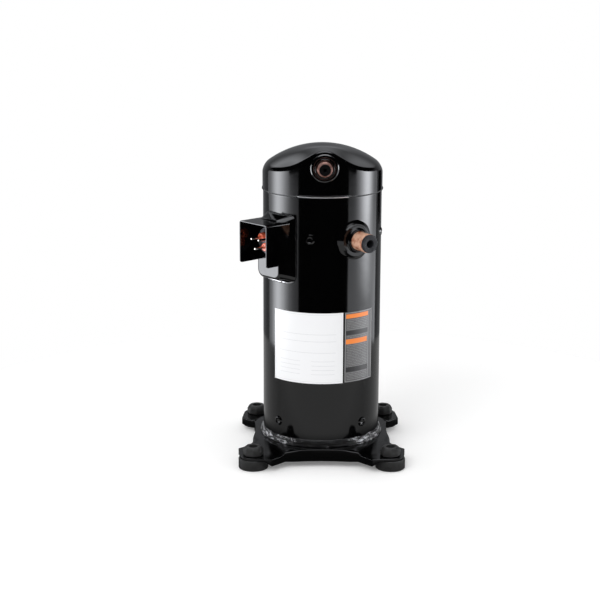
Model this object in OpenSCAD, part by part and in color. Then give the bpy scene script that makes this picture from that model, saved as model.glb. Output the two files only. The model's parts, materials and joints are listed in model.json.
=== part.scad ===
// Hermetic scroll compressor, vertical, on a four-footed stamped base.
// Origin: centre of the square of mounting holes, on the ground.
// +Z is the shaft axis, -Y is the side of the discharge stub.
// An azimuth is measured about +Z from -Y, positive towards +X.

/* [Mounting feet] */
// Distance between neighbouring mounting holes
hole_spacing = 190.5; // [186:0.5:200]
// Bolt hole through each grommet
bolt_d = 12.4; // [9:0.1:14]
// Lower disc of a grommet
foot_d = 41.4; // [36:0.2:46]
// Height of the lower disc
foot_h = 14.5; // [12:0.5:18]
// Neck of a grommet, held in the plate
neck_d = 22; // [18:0.5:24]
// Upper boss of a grommet, across its corners
boss_d = 29; // [26:0.5:32]
// Height of the upper boss
boss_h = 12.5; // [9:0.5:15]

/* [Base plate] */
// Sheet thickness of the base plate
plate_t = 4; // [3:0.5:5]
// Rise of the plate from its arms to its middle
plate_rise = 6.5; // [4:0.5:8]
// Radius of the ring at the end of each arm
arm_r = 19.3; // [17:0.1:20.5]
// Distance from the axis to the middle of each side
side_reach = 94.5; // [92:0.5:97]
// How far the flared end of each skirt stands past the lower discs
flare_past = 1.05; // [0.5:0.05:3]
// Height of the skirt's lower edge above the ground
skirt_z = 8; // [5:0.5:10]
// Thickness of the skirt
skirt_t = 3; // [2:0.5:4]

/* [Shell] */
// Outside radius of the shell
shell_r = 83; // [81:0.25:84]
// Wall of the shell
shell_t = 3.5; // [3:0.25:4]
// Lowest point of the sump
sump_z = 7; // [5:0.5:10]
// Corner radius of the sump
sump_corner = 24; // [18:1:26]
// Height of the lower seam
low_seam_z = 34; // [32:0.5:38]
// Height of the upper seam
top_seam_z = 378.8; // [376:0.2:384]
// Width of the lower weld bead
low_bead_h = 11; // [8:0.5:13]
// Proud height of the lower weld bead
low_bead_t = 3; // [2:0.25:4]
// Radius of the upper weld bead's section
top_bead_r = 2.4; // [1.8:0.1:3]

/* [Top cap] */
// How far the cap's skirt stands out from the shell
cap_step = 0.8; // [0.5:0.1:1.5]
// Wall of the cap
cap_t = 4; // [3:0.25:5]
// Top of the dome
apex_z = 441; // [436:1:448]
// Radius of the dome's crown
crown_r = 130; // [120:1:160]
// Corner radius between crown and skirt
cap_corner = 10; // [8:0.5:14]
// Corner radius along the hood
hood_corner = 7; // [5:0.5:9]
// Width of the hood
hood_w = 36; // [28:1:42]
// Length over which the hood rises from the crown
hood_run = 45; // [35:1:60]

/* [Discharge] */
// Azimuth of the discharge stub and hood
discharge_az = 1; // [-5:0.5:5]
// Height of the discharge stub
discharge_z = 417.5; // [414:0.5:420]
// Outside of the discharge stub
discharge_d = 19.6; // [17:0.1:21]
// Bore of the discharge stub
discharge_bore = 12.8; // [11:0.1:14]
// Length of the discharge stub past the cap's skirt
discharge_length = 13.2; // [10:0.1:20]
// Outside of the fitting ring
fitting_d = 39; // [34:0.5:42]

/* [Suction] */
// Azimuth of the suction stub
suction_az = 32.3; // [28:0.5:36]
// Height of the suction stub
suction_z = 318; // [316:0.5:320]
// Outside of the suction stub
suction_d = 25.7; // [22:0.1:28.6]
// Bore of the suction stub
suction_bore = 22.3; // [18:0.1:23]
// Length of the suction stub past its collar
suction_length = 22; // [18:0.5:30]
// Flat face of the formed boss
boss_face_d = 44; // [40:0.5:46]
// Foot of the formed boss on the shell
boss_foot_d = 57; // [52:0.5:60]
// How far the boss face stands out from the shell
boss_proud = 3.8; // [2.5:0.1:6]
// Outside of the brazed collar
collar_d = 30.5; // [29.5:0.25:34]
// Length of the collar past the boss face
collar_length = 5.7; // [4:0.1:8]
// Flange thickness of the rubber plugs
plug_flange_t = 3; // [2:0.25:4]

/* [Terminal] */
// Azimuth of the terminal
terminal_az = -47.5; // [-52:0.5:-44]
// Height of the terminal's centre
terminal_z = 316.4; // [312:0.2:320]
// How far the pad's face stands out from the shell
pad_proud = 18.3; // [15:0.1:21]
// Width of the pad's face
pad_face_w = 45; // [42:0.5:48]
// Width of the pad at the shell
pad_foot_w = 60; // [56:0.5:64]
// Lower end of the pad
pad_z0 = 256; // [250:1:260]
// Upper end of the pad
pad_z1 = 353; // [348:1:360]
// Slope of the pad's two ends
pad_end_slope = 8; // [5:0.5:10]
// Wall of the pad
pad_t = 3; // [2:0.25:4]
// Overall width of the fence
fence_w = 55.5; // [52:0.5:58]
// Lower edge of the fence
fence_z0 = 285.5; // [281:0.5:289]
// Top of the fence
fence_z1 = 344; // [340:0.5:348]
// Gap between the shell and the fence's inner edge
fence_gap = 3; // [2:0.5:7]
// Depth of the fence from its inner to its outer edge
fence_depth = 43; // [40:0.5:48]
// Sheet thickness of the fence
fence_t = 1.6; // [1.2:0.1:2.5]
// Pin diameter
pin_d = 3.2; // [2.5:0.1:4]
// Circle through the three pins
pin_circle = 17; // [15:0.5:19]
// Length of the pins past the pad's face
pin_length = 24.2; // [19:0.1:26]
// Flange of the terminal body
terminal_d = 38; // [34:0.5:40]
// Insulator round each pin
insulator_d = 12.6; // [10:0.2:14]
// Length of the insulators past the pad's face
insulator_length = 7.7; // [5:0.1:11]

/* [Scroll set] */
// Distance between neighbouring turns of one wrap
wrap_pitch = 16; // [15.5:0.1:16.5]
// Thickness of a wrap
wrap_t = 3.6; // [3.3:0.1:3.8]
// Height of the wraps
wrap_h = 36; // [32:0.5:38]
// Flank gap between the two wraps
flank_gap = 0.2; // [0.1:0.05:0.4]
// Angle at which a wrap begins, in degrees of its involute
wrap_start = 180; // [150:10:200]
// Number of turns of the orbiting wrap
wrap_turns = 2.75; // [2:0.25:2.75]
// Height of the thrust face that carries the orbiting scroll
thrust_z = 296; // [294:0.5:298]
// Base thickness of the orbiting scroll
orbit_base_t = 9; // [8:0.5:10]
// Base thickness of the fixed scroll
fixed_base_t = 14; // [13:0.5:15]
// Width of an Oldham key
key_w = 9; // [7:0.5:11]

/* [Drive] */
// Main journal of the crankshaft
journal_d = 28; // [26:0.5:29]
// Lower journal of the crankshaft
low_journal_d = 18; // [16:0.5:20]
// Drive pin
drive_pin_d = 9; // [7:0.5:9.5]
// Outside of the drive bush
bush_d = 24.8; // [23:0.2:26]

/* [Motor] */
// Height of the lower face of the core
core_z = 118; // [112:1:124]
// Height of the core
core_h = 82; // [70:1:90]
// Bore of the stator
stator_bore = 86; // [82:0.5:88]
// Air gap
air_gap = 0.6; // [0.4:0.05:1]
// Number of stator slots
slots = 24; // [12:6:24]

/* [Stickers] */
// Height of the stickers' lower edge
sticker_z = 117; // [100:1:140]
// Height of the stickers
sticker_h = 100.5; // [60:0.5:120]
// First azimuth of the white sticker
white_az0 = -52; // [-60:0.5:-40]
// Last azimuth of the white sticker
white_az1 = 20; // [10:0.5:20]
// First azimuth of the grey sticker
grey_az0 = 21.6; // [21:0.1:25]
// Last azimuth of the grey sticker
grey_az1 = 56; // [40:0.5:60]

/* [Hidden] */
$fn = 96;

// Small distances
eps = 0.01;         // makes a cut run past a face
slip = 0.05;        // radial clearance of a running fit
seat = 0.1;         // clearance of a piece dropped into its place
foot_seat = 0.2;    // clearance round a grommet's neck
step_in = 0.4;      // how far a stub's shank stands back from its exposed end, in radius

// Mounting base
hole_c = hole_spacing / 2;
arm_top = foot_h + plate_t;
mid_top = arm_top + plate_rise;
flare_reach = hole_c + foot_d / 2 + flare_past;

// Shell
bore_r = shell_r - shell_t;
cap_r = shell_r + cap_step;
rim_t = shell_t;                       // rim of the partition plate
tube_top = top_seam_z - rim_t;
stake_r = 5.5;                         // radius of a plug weld
stake_proud = 1.2;
stake_dish = 0.6;                      // hollow left in the middle of a plug weld
stake_count = 4;
top_stake_az = -12.3;
top_stake_z = suction_z + 2;
low_stake_az = -47;
low_stake_z = 55.5;

// Stubs
suction_shank_d = suction_d - 2 * step_in;
discharge_shank_d = discharge_d - 2 * step_in;
discharge_reach = cap_r + discharge_length;
boss_reach = shell_r + boss_proud;
collar_reach = boss_reach + collar_length;
suction_reach = collar_reach + suction_length;

// Terminal, measured from the axis
pad_reach = shell_r + pad_proud;
fence_d0 = shell_r + fence_gap;
fence_d1 = fence_d0 + fence_depth;
pin_reach = pad_reach + pin_length;
insulator_reach = pad_reach + insulator_length;

// Scroll geometry
base_circle = wrap_pitch / (2 * PI);
orbit_r = wrap_pitch / 2 - wrap_t - flank_gap;
wrap_end = wrap_start + 360 * wrap_turns;
wrap_r = base_circle * wrap_end * PI / 180 + wrap_t / 2 + 0.2;
cavity_r = wrap_r + orbit_r + 0.5;     // wall round the orbiting wrap
fixed_r = cavity_r + 7.5;
orbit_base_r = cavity_r + 1.5;
orbit_top = thrust_z + orbit_base_t;
fixed_z = orbit_top + wrap_h + seat;
fixed_top = fixed_z + fixed_base_t;
port_d = 10;

// Bolts and posts of the scroll set
post_w = 24;
post_r0 = fixed_r + 1;
post_top = fixed_z - 15;
bolt_circle_r = post_r0 + 5.5;
scroll_bolt_d = 6;
scroll_bolt_head_d = 10;
flange_t = 14;                          // flange of the main housing
flange_z = thrust_z - 24;
flange_top = flange_z + flange_t;

// Oldham ring
ring_t = 5;
ring_z = flange_top + seat;
thrust_r0 = bush_d / 2 + 7.5 + orbit_r + 2;
thrust_r1 = thrust_r0 + 18;
ring_r0 = thrust_r1 + orbit_r + 0.4;
ring_r1 = ring_r0 + 7;
key_r = ring_r1 + 0.5;
key_len = 8;
key_h = 5;
key_gap = 0.05;
key_floor = 0.3;                        // gap between a key and its keyway's floor
keyway_r0 = key_r - key_len / 2 - orbit_r - 0.5;

// Drive line
hub_r = bush_d / 2 + 7.5;
hub_z = flange_z + 3;
bearing_t = 2.6;
shaft_top = flange_z + 0.5;
bush_z = shaft_top;
bush_h = 20;
housing_hub_z = flange_z - 36;
rotor_r = stator_bore / 2 - air_gap;
shaft_d = journal_d - 2;
shaft_bottom = 47.6;
core_top = core_z + core_h;
turn_h = 32;                            // height of a winding's end turns
turn_r0 = stator_bore / 2 + 3;
turn_r1 = turn_r0 + 22;
ring_h = 6;                             // height of a rotor end ring
weight_gap = 0.5;

// Local frame on the shell: x sideways, y up, z outward from the axis
module facing(az, z) {
  rotate([0, 0, az]) translate([0, 0, z]) rotate([90, 0, 0]) children();
}

// Solid of revolution between two azimuths
module sector(az0, az1) {
  rotate([0, 0, az0 - 90]) rotate_extrude(angle = az1 - az0) children();
}

module tube(r_out, r_in, h) {
  difference() {
    cylinder(r = r_out, h = h);
    translate([0, 0, -eps]) cylinder(r = r_in, h = h + 2 * eps);
  }
}

module rounded_rect(w, h, r) {
  square([w - 2 * r, h], center = true);
  square([w, h - 2 * r], center = true);
  for (sx = [-1, 1]) for (sy = [-1, 1])
    translate([sx * (w / 2 - r), sy * (h / 2 - r)]) circle(r = r);
}

// ---------------------------------------------------------------- base

// Outline of one side of the base plate from arm to arm, set in by o
function side_points(o) = concat(
  [for (a = [-45 : 15 : 0]) [hole_c + (arm_r - o) * cos(a), -hole_c + (arm_r - o) * sin(a)]],
  [[flare_reach - o, -hole_c + 26], [side_reach + 3 - o, -hole_c + 45]],
  [for (k = [-2 : 2]) [side_reach + 0.75 * k * k - o, (hole_c - 45) * k / 2.6]],
  [[side_reach + 3 - o, hole_c - 45], [flare_reach - o, hole_c - 26]],
  [for (a = [0 : 15 : 45]) [hole_c + (arm_r - o) * cos(a), hole_c + (arm_r - o) * sin(a)]]
);

module plate_outline(o) {
  polygon([for (q = [0 : 3]) for (p = side_points(o))
    [p[0] * cos(90 * q) - p[1] * sin(90 * q), p[0] * sin(90 * q) + p[1] * cos(90 * q)]]);
}

// Half section of the plate: high in the middle, sloping down to the arms
module plate_section(drop) {
  far = hole_spacing;
  slope_r0 = hole_c + 5;
  slope_r1 = slope_r0 + 16;
  polygon([
    [shell_r + seat, mid_top - drop], [shell_r + seat, mid_top], [slope_r0, mid_top],
    [slope_r1, arm_top], [far, arm_top], [far, arm_top - drop],
    [slope_r1, arm_top - drop], [slope_r0, mid_top - drop]
  ]);
}

module skirt_side() {
  end = hole_c - 10;
  deep = hole_c - 26;
  translate([hole_spacing, 0, 0]) rotate([90, 0, -90]) linear_extrude(hole_spacing / 2 + 30)
    polygon([[-end, arm_top], [-deep, skirt_z], [deep, skirt_z], [end, arm_top],
      [deep, mid_top], [-deep, mid_top]]);
}

module base_plate() {
  color("#161618") difference() {
    union() {
      intersection() {
        linear_extrude(mid_top + 5) plate_outline(0);
        rotate_extrude() plate_section(plate_t);
      }
      intersection() {
        linear_extrude(mid_top + 5) difference() {
          plate_outline(0);
          plate_outline(skirt_t);
        }
        rotate_extrude() plate_section(arm_top);
        union() for (q = [0 : 3]) rotate([0, 0, 90 * q]) skirt_side();
      }
    }
    for (sx = [-1, 1]) for (sy = [-1, 1]) translate([sx * hole_c, sy * hole_c, 0]) {
      cylinder(d = neck_d + 2 * foot_seat, h = 2 * mid_top);
      translate([0, 0, -eps]) cylinder(d = foot_d + 2, h = foot_h + eps);
    }
  }
}

module grommet() {
  chamfer = 3;
  difference() {
    union() {
      rotate_extrude() polygon([[0, 0], [foot_d / 2 - 1.5, 0], [foot_d / 2, 1.5],
        [foot_d / 2, foot_h - 1], [foot_d / 2 - 1, foot_h], [0, foot_h]]);
      cylinder(d = neck_d, h = arm_top + eps);
      translate([0, 0, arm_top]) intersection() {
        rotate([0, 0, 22.5]) cylinder(d = boss_d, h = boss_h, $fn = 8);
        cylinder(d1 = boss_d + boss_h, d2 = boss_d - 2 * chamfer, h = boss_h);
      }
    }
    translate([0, 0, -eps]) cylinder(d = bolt_d, h = arm_top + boss_h + 2 * eps);
  }
}

module grommets() {
  color("#2a2a2c") for (sx = [-1, 1]) for (sy = [-1, 1])
    translate([sx * hole_c, sy * hole_c, 0]) grommet();
}

// ---------------------------------------------------------------- shell

// Half section of a cup with a rounded corner
module cup_section(r, z0, z1, corner) {
  square([r - corner, corner]);
  translate([r - corner, corner]) circle(r = corner);
  translate([0, corner]) square([r, z1 - z0 - corner]);
}

module lower_shell() {
  color("#121214") translate([0, 0, sump_z]) rotate_extrude() difference() {
    intersection() {
      cup_section(shell_r, sump_z, low_seam_z, sump_corner);
      square([shell_r, low_seam_z - sump_z]);
    }
    translate([-eps, shell_t]) intersection() {
      cup_section(bore_r, sump_z, low_seam_z + 1, sump_corner - shell_t);
      translate([0, -shell_t]) square([shell_r, low_seam_z]);
    }
  }
}

module lower_weld() {
  z0 = mid_top;
  color("#8c8c8e") rotate_extrude() difference() {
    translate([shell_r, z0]) polygon([
      [0, 0], [low_bead_t + 1.5, 0], [low_bead_t + 1.2, low_bead_h * 0.3],
      [low_bead_t, low_bead_h * 0.55], [low_bead_t * 0.6, low_bead_h * 0.85], [0, low_bead_h]]);
    square([shell_r + slip, low_seam_z + low_bead_h]);
  }
}

// Places for the plug welds, each drawn along its outward axis
module at_stakes() {
  for (k = [0 : stake_count - 1]) {
    facing(top_stake_az + k * 360 / stake_count, top_stake_z) children();
    facing(low_stake_az + k * 360 / stake_count, low_stake_z) children();
  }
}

module center_shell() {
  color("#121214") difference() {
    union() {
      translate([0, 0, low_seam_z]) cylinder(r = shell_r, h = tube_top - low_seam_z);
      facing(suction_az, suction_z) translate([0, 0, bore_r - 8])
        cylinder(d1 = boss_foot_d + 6, d2 = boss_face_d, h = boss_reach - bore_r + 8);
    }
    translate([0, 0, low_seam_z - eps]) cylinder(r = bore_r, h = tube_top - low_seam_z + 2 * eps);
    facing(suction_az, suction_z) cylinder(d = suction_shank_d + 2 * seat, h = boss_reach + 5);
    facing(terminal_az, terminal_z) translate([0, 0, bore_r - 15])
      linear_extrude(40) rounded_rect(pad_face_w - 8, pad_face_w - 4, 8);
    at_stakes() translate([0, 0, bore_r - 5]) cylinder(r = stake_r + slip, h = 12);
  }
}

module weld_plugs() {
  color("#151517") difference() {
    at_stakes() translate([0, 0, bore_r - 3]) difference() {
      cylinder(r = stake_r, h = shell_t + stake_proud + 3);
      translate([0, 0, shell_t + stake_proud + 3 - stake_dish])
        cylinder(r1 = 0.5, r2 = stake_r - 1.5, h = stake_dish + eps);
    }
    cylinder(r = bore_r, h = tube_top);
  }
}

module upper_weld() {
  color("#1a1a1c") rotate_extrude() difference() {
    translate([shell_r - 0.3, top_seam_z]) circle(r = top_bead_r, $fn = 24);
    translate([0, top_seam_z - 10]) square([shell_r + slip, 10]);
    translate([0, top_seam_z - slip]) square([cap_r + slip, 10]);
  }
}

// ---------------------------------------------------------------- top cap

function smooth(t) = t <= 0 ? 0 : t >= 1 ? 1 : t * t * (3 - 2 * t);
function crown(r) = apex_z - crown_r + sqrt(crown_r * crown_r - r * r);

// How strongly the hood lifts the surface at a place given by radius and azimuth
function hood(r, a) =
  let (x = r * sin(a), front = r * cos(a))
  exp(-pow(x / hood_w, 2)) * smooth(front / hood_run);
function cap_top(r, a) = crown(r) + (apex_z - crown(r)) * hood(r, a);
function corner(a) = cap_corner + (hood_corner - cap_corner) * hood(cap_r, a);

crown_rings = 7;
corner_rings = 6;
cap_sides = 72;
cap_rings = crown_rings + corner_rings;

// Point k of the profile at azimuth a; k = 1 is nearest the apex
function cap_point(k, a) =
  let (c = corner(a), t = k <= crown_rings ? 0 : 90 * (k - crown_rings) / corner_rings,
    r = k <= crown_rings ? (cap_r - c) * pow(k / crown_rings, 0.8) : cap_r - c + c * sin(t))
  [r, cap_top(r, a) - c * (1 - cos(t))];

function cap_ring(k, shrink) = [for (i = [0 : cap_sides - 1])
  let (a = 360 * i / cap_sides, p = cap_point(k, a), r = p[0] * (1 - shrink / cap_r),
    z = p[1] - shrink)
  [r * sin(a + discharge_az), -r * cos(a + discharge_az), z]];

function skirt_ring(r) = [for (i = [0 : cap_sides - 1])
  let (a = 360 * i / cap_sides + discharge_az) [r * sin(a), -r * cos(a), top_seam_z]];

function band(a0, b0) = [for (i = [0 : cap_sides - 1]) let (j = (i + 1) % cap_sides)
  each [[a0 + i, b0 + j, a0 + j], [a0 + i, b0 + i, b0 + j]]];

function strip(a0, n) = [for (k = [0 : n - 2]) each band(a0 + k * cap_sides, a0 + (k + 1) * cap_sides)];
function flip(faces) = [for (f = faces) [f[0], f[2], f[1]]];

module cap_shell() {
  n = cap_rings + 1;
  outer = [for (k = [1 : cap_rings]) each cap_ring(k, 0)];
  inner = [for (k = [1 : cap_rings]) each cap_ring(k, cap_t)];
  top = 2 * n * cap_sides;
  inner0 = n * cap_sides;
  points = concat(outer, skirt_ring(cap_r), inner, skirt_ring(cap_r - cap_t),
    [[0, 0, apex_z], [0, 0, apex_z - cap_t]]);
  faces = concat(
    [for (i = [0 : cap_sides - 1]) [top, i, (i + 1) % cap_sides]],
    strip(0, n),
    band(inner0 - cap_sides, top - cap_sides),
    flip(strip(inner0, n)),
    [for (i = [0 : cap_sides - 1]) [top + 1, inner0 + (i + 1) % cap_sides, inner0 + i]]);
  polyhedron(points, flip(faces), convexity = 4);
}

module top_cap() {
  color("#121214") difference() {
    cap_shell();
    facing(discharge_az, discharge_z) translate([0, 0, cap_r - fitting_d])
      cylinder(d = discharge_shank_d + 2 * slip, h = 2 * fitting_d);
  }
}

// ---------------------------------------------------------------- stubs

fitting_neck_h = 3.4;                   // neck of the fitting round the stub
fitting_root = 6;                       // how far the ring is let into the hood
fitting_proud = 0.6;                    // how far the ring's middle stands out of the cap
sleeve_room = 0.8;                      // bare shank between the neck and the full size

module discharge_fitting() {
  rim = 2.6;
  neck_foot = 4;
  neck_lip = 1.5;
  color("#141416") difference() {
    facing(discharge_az, discharge_z) difference() {
      union() {
        translate([0, 0, cap_r - fitting_root])
          cylinder(d = fitting_d - rim, h = fitting_root + fitting_proud);
        rotate_extrude() translate([fitting_d / 2 - rim, cap_r + fitting_proud])
          circle(r = rim, $fn = 24);
        translate([0, 0, cap_r])
          cylinder(d1 = discharge_d + 2 * neck_foot, d2 = discharge_d + 2 * neck_lip, h = fitting_neck_h);
      }
      translate([0, 0, cap_r - fitting_d]) cylinder(d = discharge_shank_d + 2 * slip, h = 2 * fitting_d);
    }
    cylinder(r = cap_r + slip, h = 2 * apex_z);
  }
}

stub_chamfer = 0.6;
stub_inside = 5;                        // how far the discharge stub runs on inside the cap's wall

// Tube with its full size on the exposed end and a slightly smaller shank
module stub(reach, shoulder, inner, d, bore) {
  length = reach - inner;
  translate([0, 0, inner]) difference() {
    union() {
      cylinder(d = d - 2 * step_in, h = length);
      translate([0, 0, shoulder - inner]) cylinder(d = d, h = reach - shoulder);
    }
    translate([0, 0, -eps]) cylinder(d = bore, h = length + 2 * eps);
    translate([0, 0, length - stub_chamfer])
      cylinder(d1 = bore, d2 = bore + 2 * stub_chamfer, h = stub_chamfer + eps);
  }
}

module discharge_stub() {
  color("#b8735a") facing(discharge_az, discharge_z)
    stub(discharge_reach, cap_r + fitting_neck_h + sleeve_room, cap_r - cap_t - stub_inside,
      discharge_d, discharge_bore);
}

module suction_stub() {
  color("#c77c55") facing(suction_az, suction_z)
    stub(suction_reach, collar_reach + 2 * seat, bore_r - 1, suction_d, suction_bore);
}

plug_lip = 1.3;                         // how far the small plug's flange covers the stub's end
flange_in = 0.25;                       // how far the large plug's flange stands back
discharge_plug_hole = 5;
discharge_plug_depth = 12;
suction_plug_hole = 10.8;
suction_plug_depth = 16;

module plug(bore, flange_d, hole_d, depth) {
  difference() {
    union() {
      translate([0, 0, -depth]) cylinder(d = bore - 2 * slip, h = depth);
      cylinder(d = flange_d, h = plug_flange_t);
    }
    translate([0, 0, -depth * 0.6]) cylinder(d = hole_d, h = depth + plug_flange_t);
  }
}

module discharge_plug() {
  color("#242426") facing(discharge_az, discharge_z) translate([0, 0, discharge_reach + seat])
    plug(discharge_bore, discharge_bore + 2 * plug_lip, discharge_plug_hole, discharge_plug_depth);
}

module suction_plug() {
  color("#2b2b2d") facing(suction_az, suction_z) translate([0, 0, suction_reach + seat])
    plug(suction_bore, suction_d - 2 * flange_in, suction_plug_hole, suction_plug_depth);
}

module suction_collar() {
  color("#17171a") facing(suction_az, suction_z) translate([0, 0, boss_reach]) difference() {
    union() {
      cylinder(d1 = collar_d + 3, d2 = collar_d, h = 2);
      cylinder(d = collar_d, h = collar_reach - boss_reach - 1);
      translate([0, 0, collar_reach - boss_reach - 1])
        cylinder(d1 = collar_d, d2 = collar_d - 2, h = 1);
    }
    translate([0, 0, -eps]) cylinder(d = suction_shank_d + 2 * slip, h = collar_reach);
  }
}

// ---------------------------------------------------------------- terminal

pad_root = shell_r - 6;                 // where the pad has its foot width
pad_corner_r = 12;
pad_lip = 2;                            // how far the pad's ends run past the rounded corners

// Drafted box that stands on the shell; grow makes it larger all round
module pad_form(grow) {
  face = pad_reach + grow;
  foot = shell_r - 12;
  slope = (pad_foot_w - pad_face_w) / 2 / (pad_reach - pad_root);
  w1 = pad_face_w / 2 + grow;
  w0 = w1 + slope * (face - foot);
  z0 = pad_z0 - grow - pad_lip;
  z1 = pad_z1 + grow + pad_lip;
  run = pad_end_slope * (face - foot) / (pad_reach - pad_root);
  mid_z = (pad_z0 + pad_z1) / 2;
  rotate([0, 0, terminal_az]) intersection() {
    linear_extrude(2 * pad_z1) polygon([[-w0, -foot], [-w1, -face], [w1, -face], [w0, -foot]]);
    rotate([90, 0, 90]) linear_extrude(4 * w0, center = true)
      polygon([[-foot, z0], [-face, z0 + run], [-face, z1 - run], [-foot, z1]]);
    translate([0, 0, mid_z]) rotate([90, 0, 0]) linear_extrude(2 * face)
      rounded_rect(pad_foot_w + 2 * (pad_lip + grow), pad_z1 - pad_z0 + 2 * grow, pad_corner_r + grow);
  }
}

module terminal_pad() {
  color("#131315") difference() {
    pad_form(0);
    pad_form(-pad_t);
    cylinder(r = shell_r + slip, h = 2 * pad_z1);
    facing(terminal_az, terminal_z) cylinder(d = terminal_d - 5, h = 2 * pad_reach);
  }
}

// Bent sheet, open at the front and below
module terminal_fence() {
  h = fence_z1 - fence_z0;
  depth = fence_d1 - fence_d0;
  inner_w = fence_w - 2 * fence_t;
  bend = 3;
  corner_r = 4;
  color("#0e0e10") difference() {
    intersection() {
      facing(terminal_az, fence_z1) translate([0, 0, fence_d0]) linear_extrude(depth) difference() {
        translate([0, -h]) rounded_rect(fence_w, 2 * h, bend);
        translate([0, -h]) rounded_rect(inner_w, 2 * (h - fence_t), bend - fence_t);
        translate([-fence_w, -3 * h]) square([2 * fence_w, 2 * h]);
      }
      rotate([0, 0, terminal_az]) rotate([90, 0, 90]) linear_extrude(2 * fence_w, center = true) {
        translate([-fence_d1, fence_z0 + corner_r]) square([depth, h]);
        translate([-fence_d1 + corner_r, fence_z0]) square([depth - corner_r, h]);
        translate([-fence_d1 + corner_r, fence_z0 + corner_r]) circle(r = corner_r);
      }
    }
    pad_form(0);
  }
}

// Places of the three pins, two above and one below
module at_pins() {
  facing(terminal_az, terminal_z) for (a = [30, 150, 270])
    translate([pin_circle / 2 * cos(a), pin_circle / 2 * sin(a), 0]) children();
}

terminal_flange_t = 2;
terminal_front = pad_reach + terminal_flange_t;
terminal_back = pad_reach - 8;

cup_r = terminal_d / 2 - 2.6;           // cup pressed into the pad's hole
glass_d = pin_d + 3;                    // seal between pin and cup
pin_inner = shell_r - 2;
pin_tip = pin_d / 4;                    // chamfer at a pin's tip
pin_shank_d = pin_d - 0.6;              // inside the insulator

module terminal_body() {
  color("#3a3a3d") difference() {
    facing(terminal_az, terminal_z) {
      translate([0, 0, pad_reach]) cylinder(d = terminal_d, h = terminal_flange_t);
      translate([0, 0, terminal_back]) tube(cup_r, cup_r - 2, pad_reach - terminal_back + eps);
    }
    at_pins() cylinder(d = glass_d, h = 2 * pad_reach);
  }
}

module terminal_insulators() {
  color("#d0654a") at_pins() difference() {
    union() {
      translate([0, 0, terminal_back])
        cylinder(d = glass_d - 2 * slip, h = terminal_front - terminal_back + eps);
      translate([0, 0, terminal_front])
        cylinder(d1 = insulator_d, d2 = insulator_d - 2, h = insulator_reach - terminal_front);
    }
    translate([0, 0, terminal_back - eps]) cylinder(d = pin_shank_d + 2 * slip, h = 2 * pin_reach);
  }
}

module terminal_pins() {
  color("#c9c5bd") at_pins() {
    translate([0, 0, pin_inner]) cylinder(d = pin_shank_d, h = pin_reach - pin_tip - pin_inner);
    translate([0, 0, insulator_reach + seat])
      cylinder(d = pin_d, h = pin_reach - pin_tip - insulator_reach - seat);
    translate([0, 0, pin_reach - pin_tip]) cylinder(d1 = pin_d, d2 = pin_d / 2, h = pin_tip);
  }
}

module terminal_block() {
  edge = 6.5;
  block_t = 9;
  block_w = pin_circle + 2 * edge;
  color("#2f3438") difference() {
    facing(terminal_az, terminal_z) translate([0, 0, pin_inner + 1])
      linear_extrude(block_t) rounded_rect(block_w, block_w, edge - 0.5);
    at_pins() cylinder(d = pin_shank_d + 2 * slip, h = 2 * pad_reach);
  }
}

// ---------------------------------------------------------------- stickers

sticker_t = 0.2;

module sticker(az0, az1) {
  sector(az0, az1) translate([shell_r + slip, sticker_z]) square([sticker_t, sticker_h]);
}

module sticker_white() {
  color("#e9e9e6") sticker(white_az0, white_az1);
}

module sticker_grey() {
  color("#55575b") sticker(grey_az0, grey_az1);
}

// ---------------------------------------------------------------- scroll set

// Point on the normal of the wrap at angle w, aside of its middle line
function flank(w, aside) =
  let (s = base_circle * w * PI / 180 + aside)
  [base_circle * cos(w) + s * sin(w), base_circle * sin(w) - s * cos(w)];

module wrap(to) {
  step = 6;
  n = ceil((to - wrap_start) / step);
  ws = [for (k = [0 : n]) wrap_start + (to - wrap_start) * k / n];
  polygon(concat([for (w = ws) flank(w, wrap_t / 2)],
    [for (k = [n : -1 : 0]) flank(ws[k], -wrap_t / 2)]));
}

// Places of the scroll bolts and posts
module at_posts() {
  for (k = [0 : stake_count - 1])
    rotate([0, 0, top_stake_az + k * 360 / stake_count]) translate([0, -bolt_circle_r, 0]) children();
}

module ear(h) {
  translate([-post_w / 2, bolt_circle_r - bore_r - 3, 0]) cube([post_w, bore_r - post_r0 + 3, h]);
}

module inside_shell(gap) {
  intersection() {
    cylinder(r = bore_r - gap, h = 2 * top_seam_z);
    children();
  }
}

function radians_to_turn(r) = (r / base_circle) * 180 / PI;

valve_r = 8.5;
recess_r = valve_r + 1.5;
recess_z = fixed_top - 6;
seal_r0 = recess_r + 13;
seal_r1 = seal_r0 + 14;
seal_z = fixed_top - 8;

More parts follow.
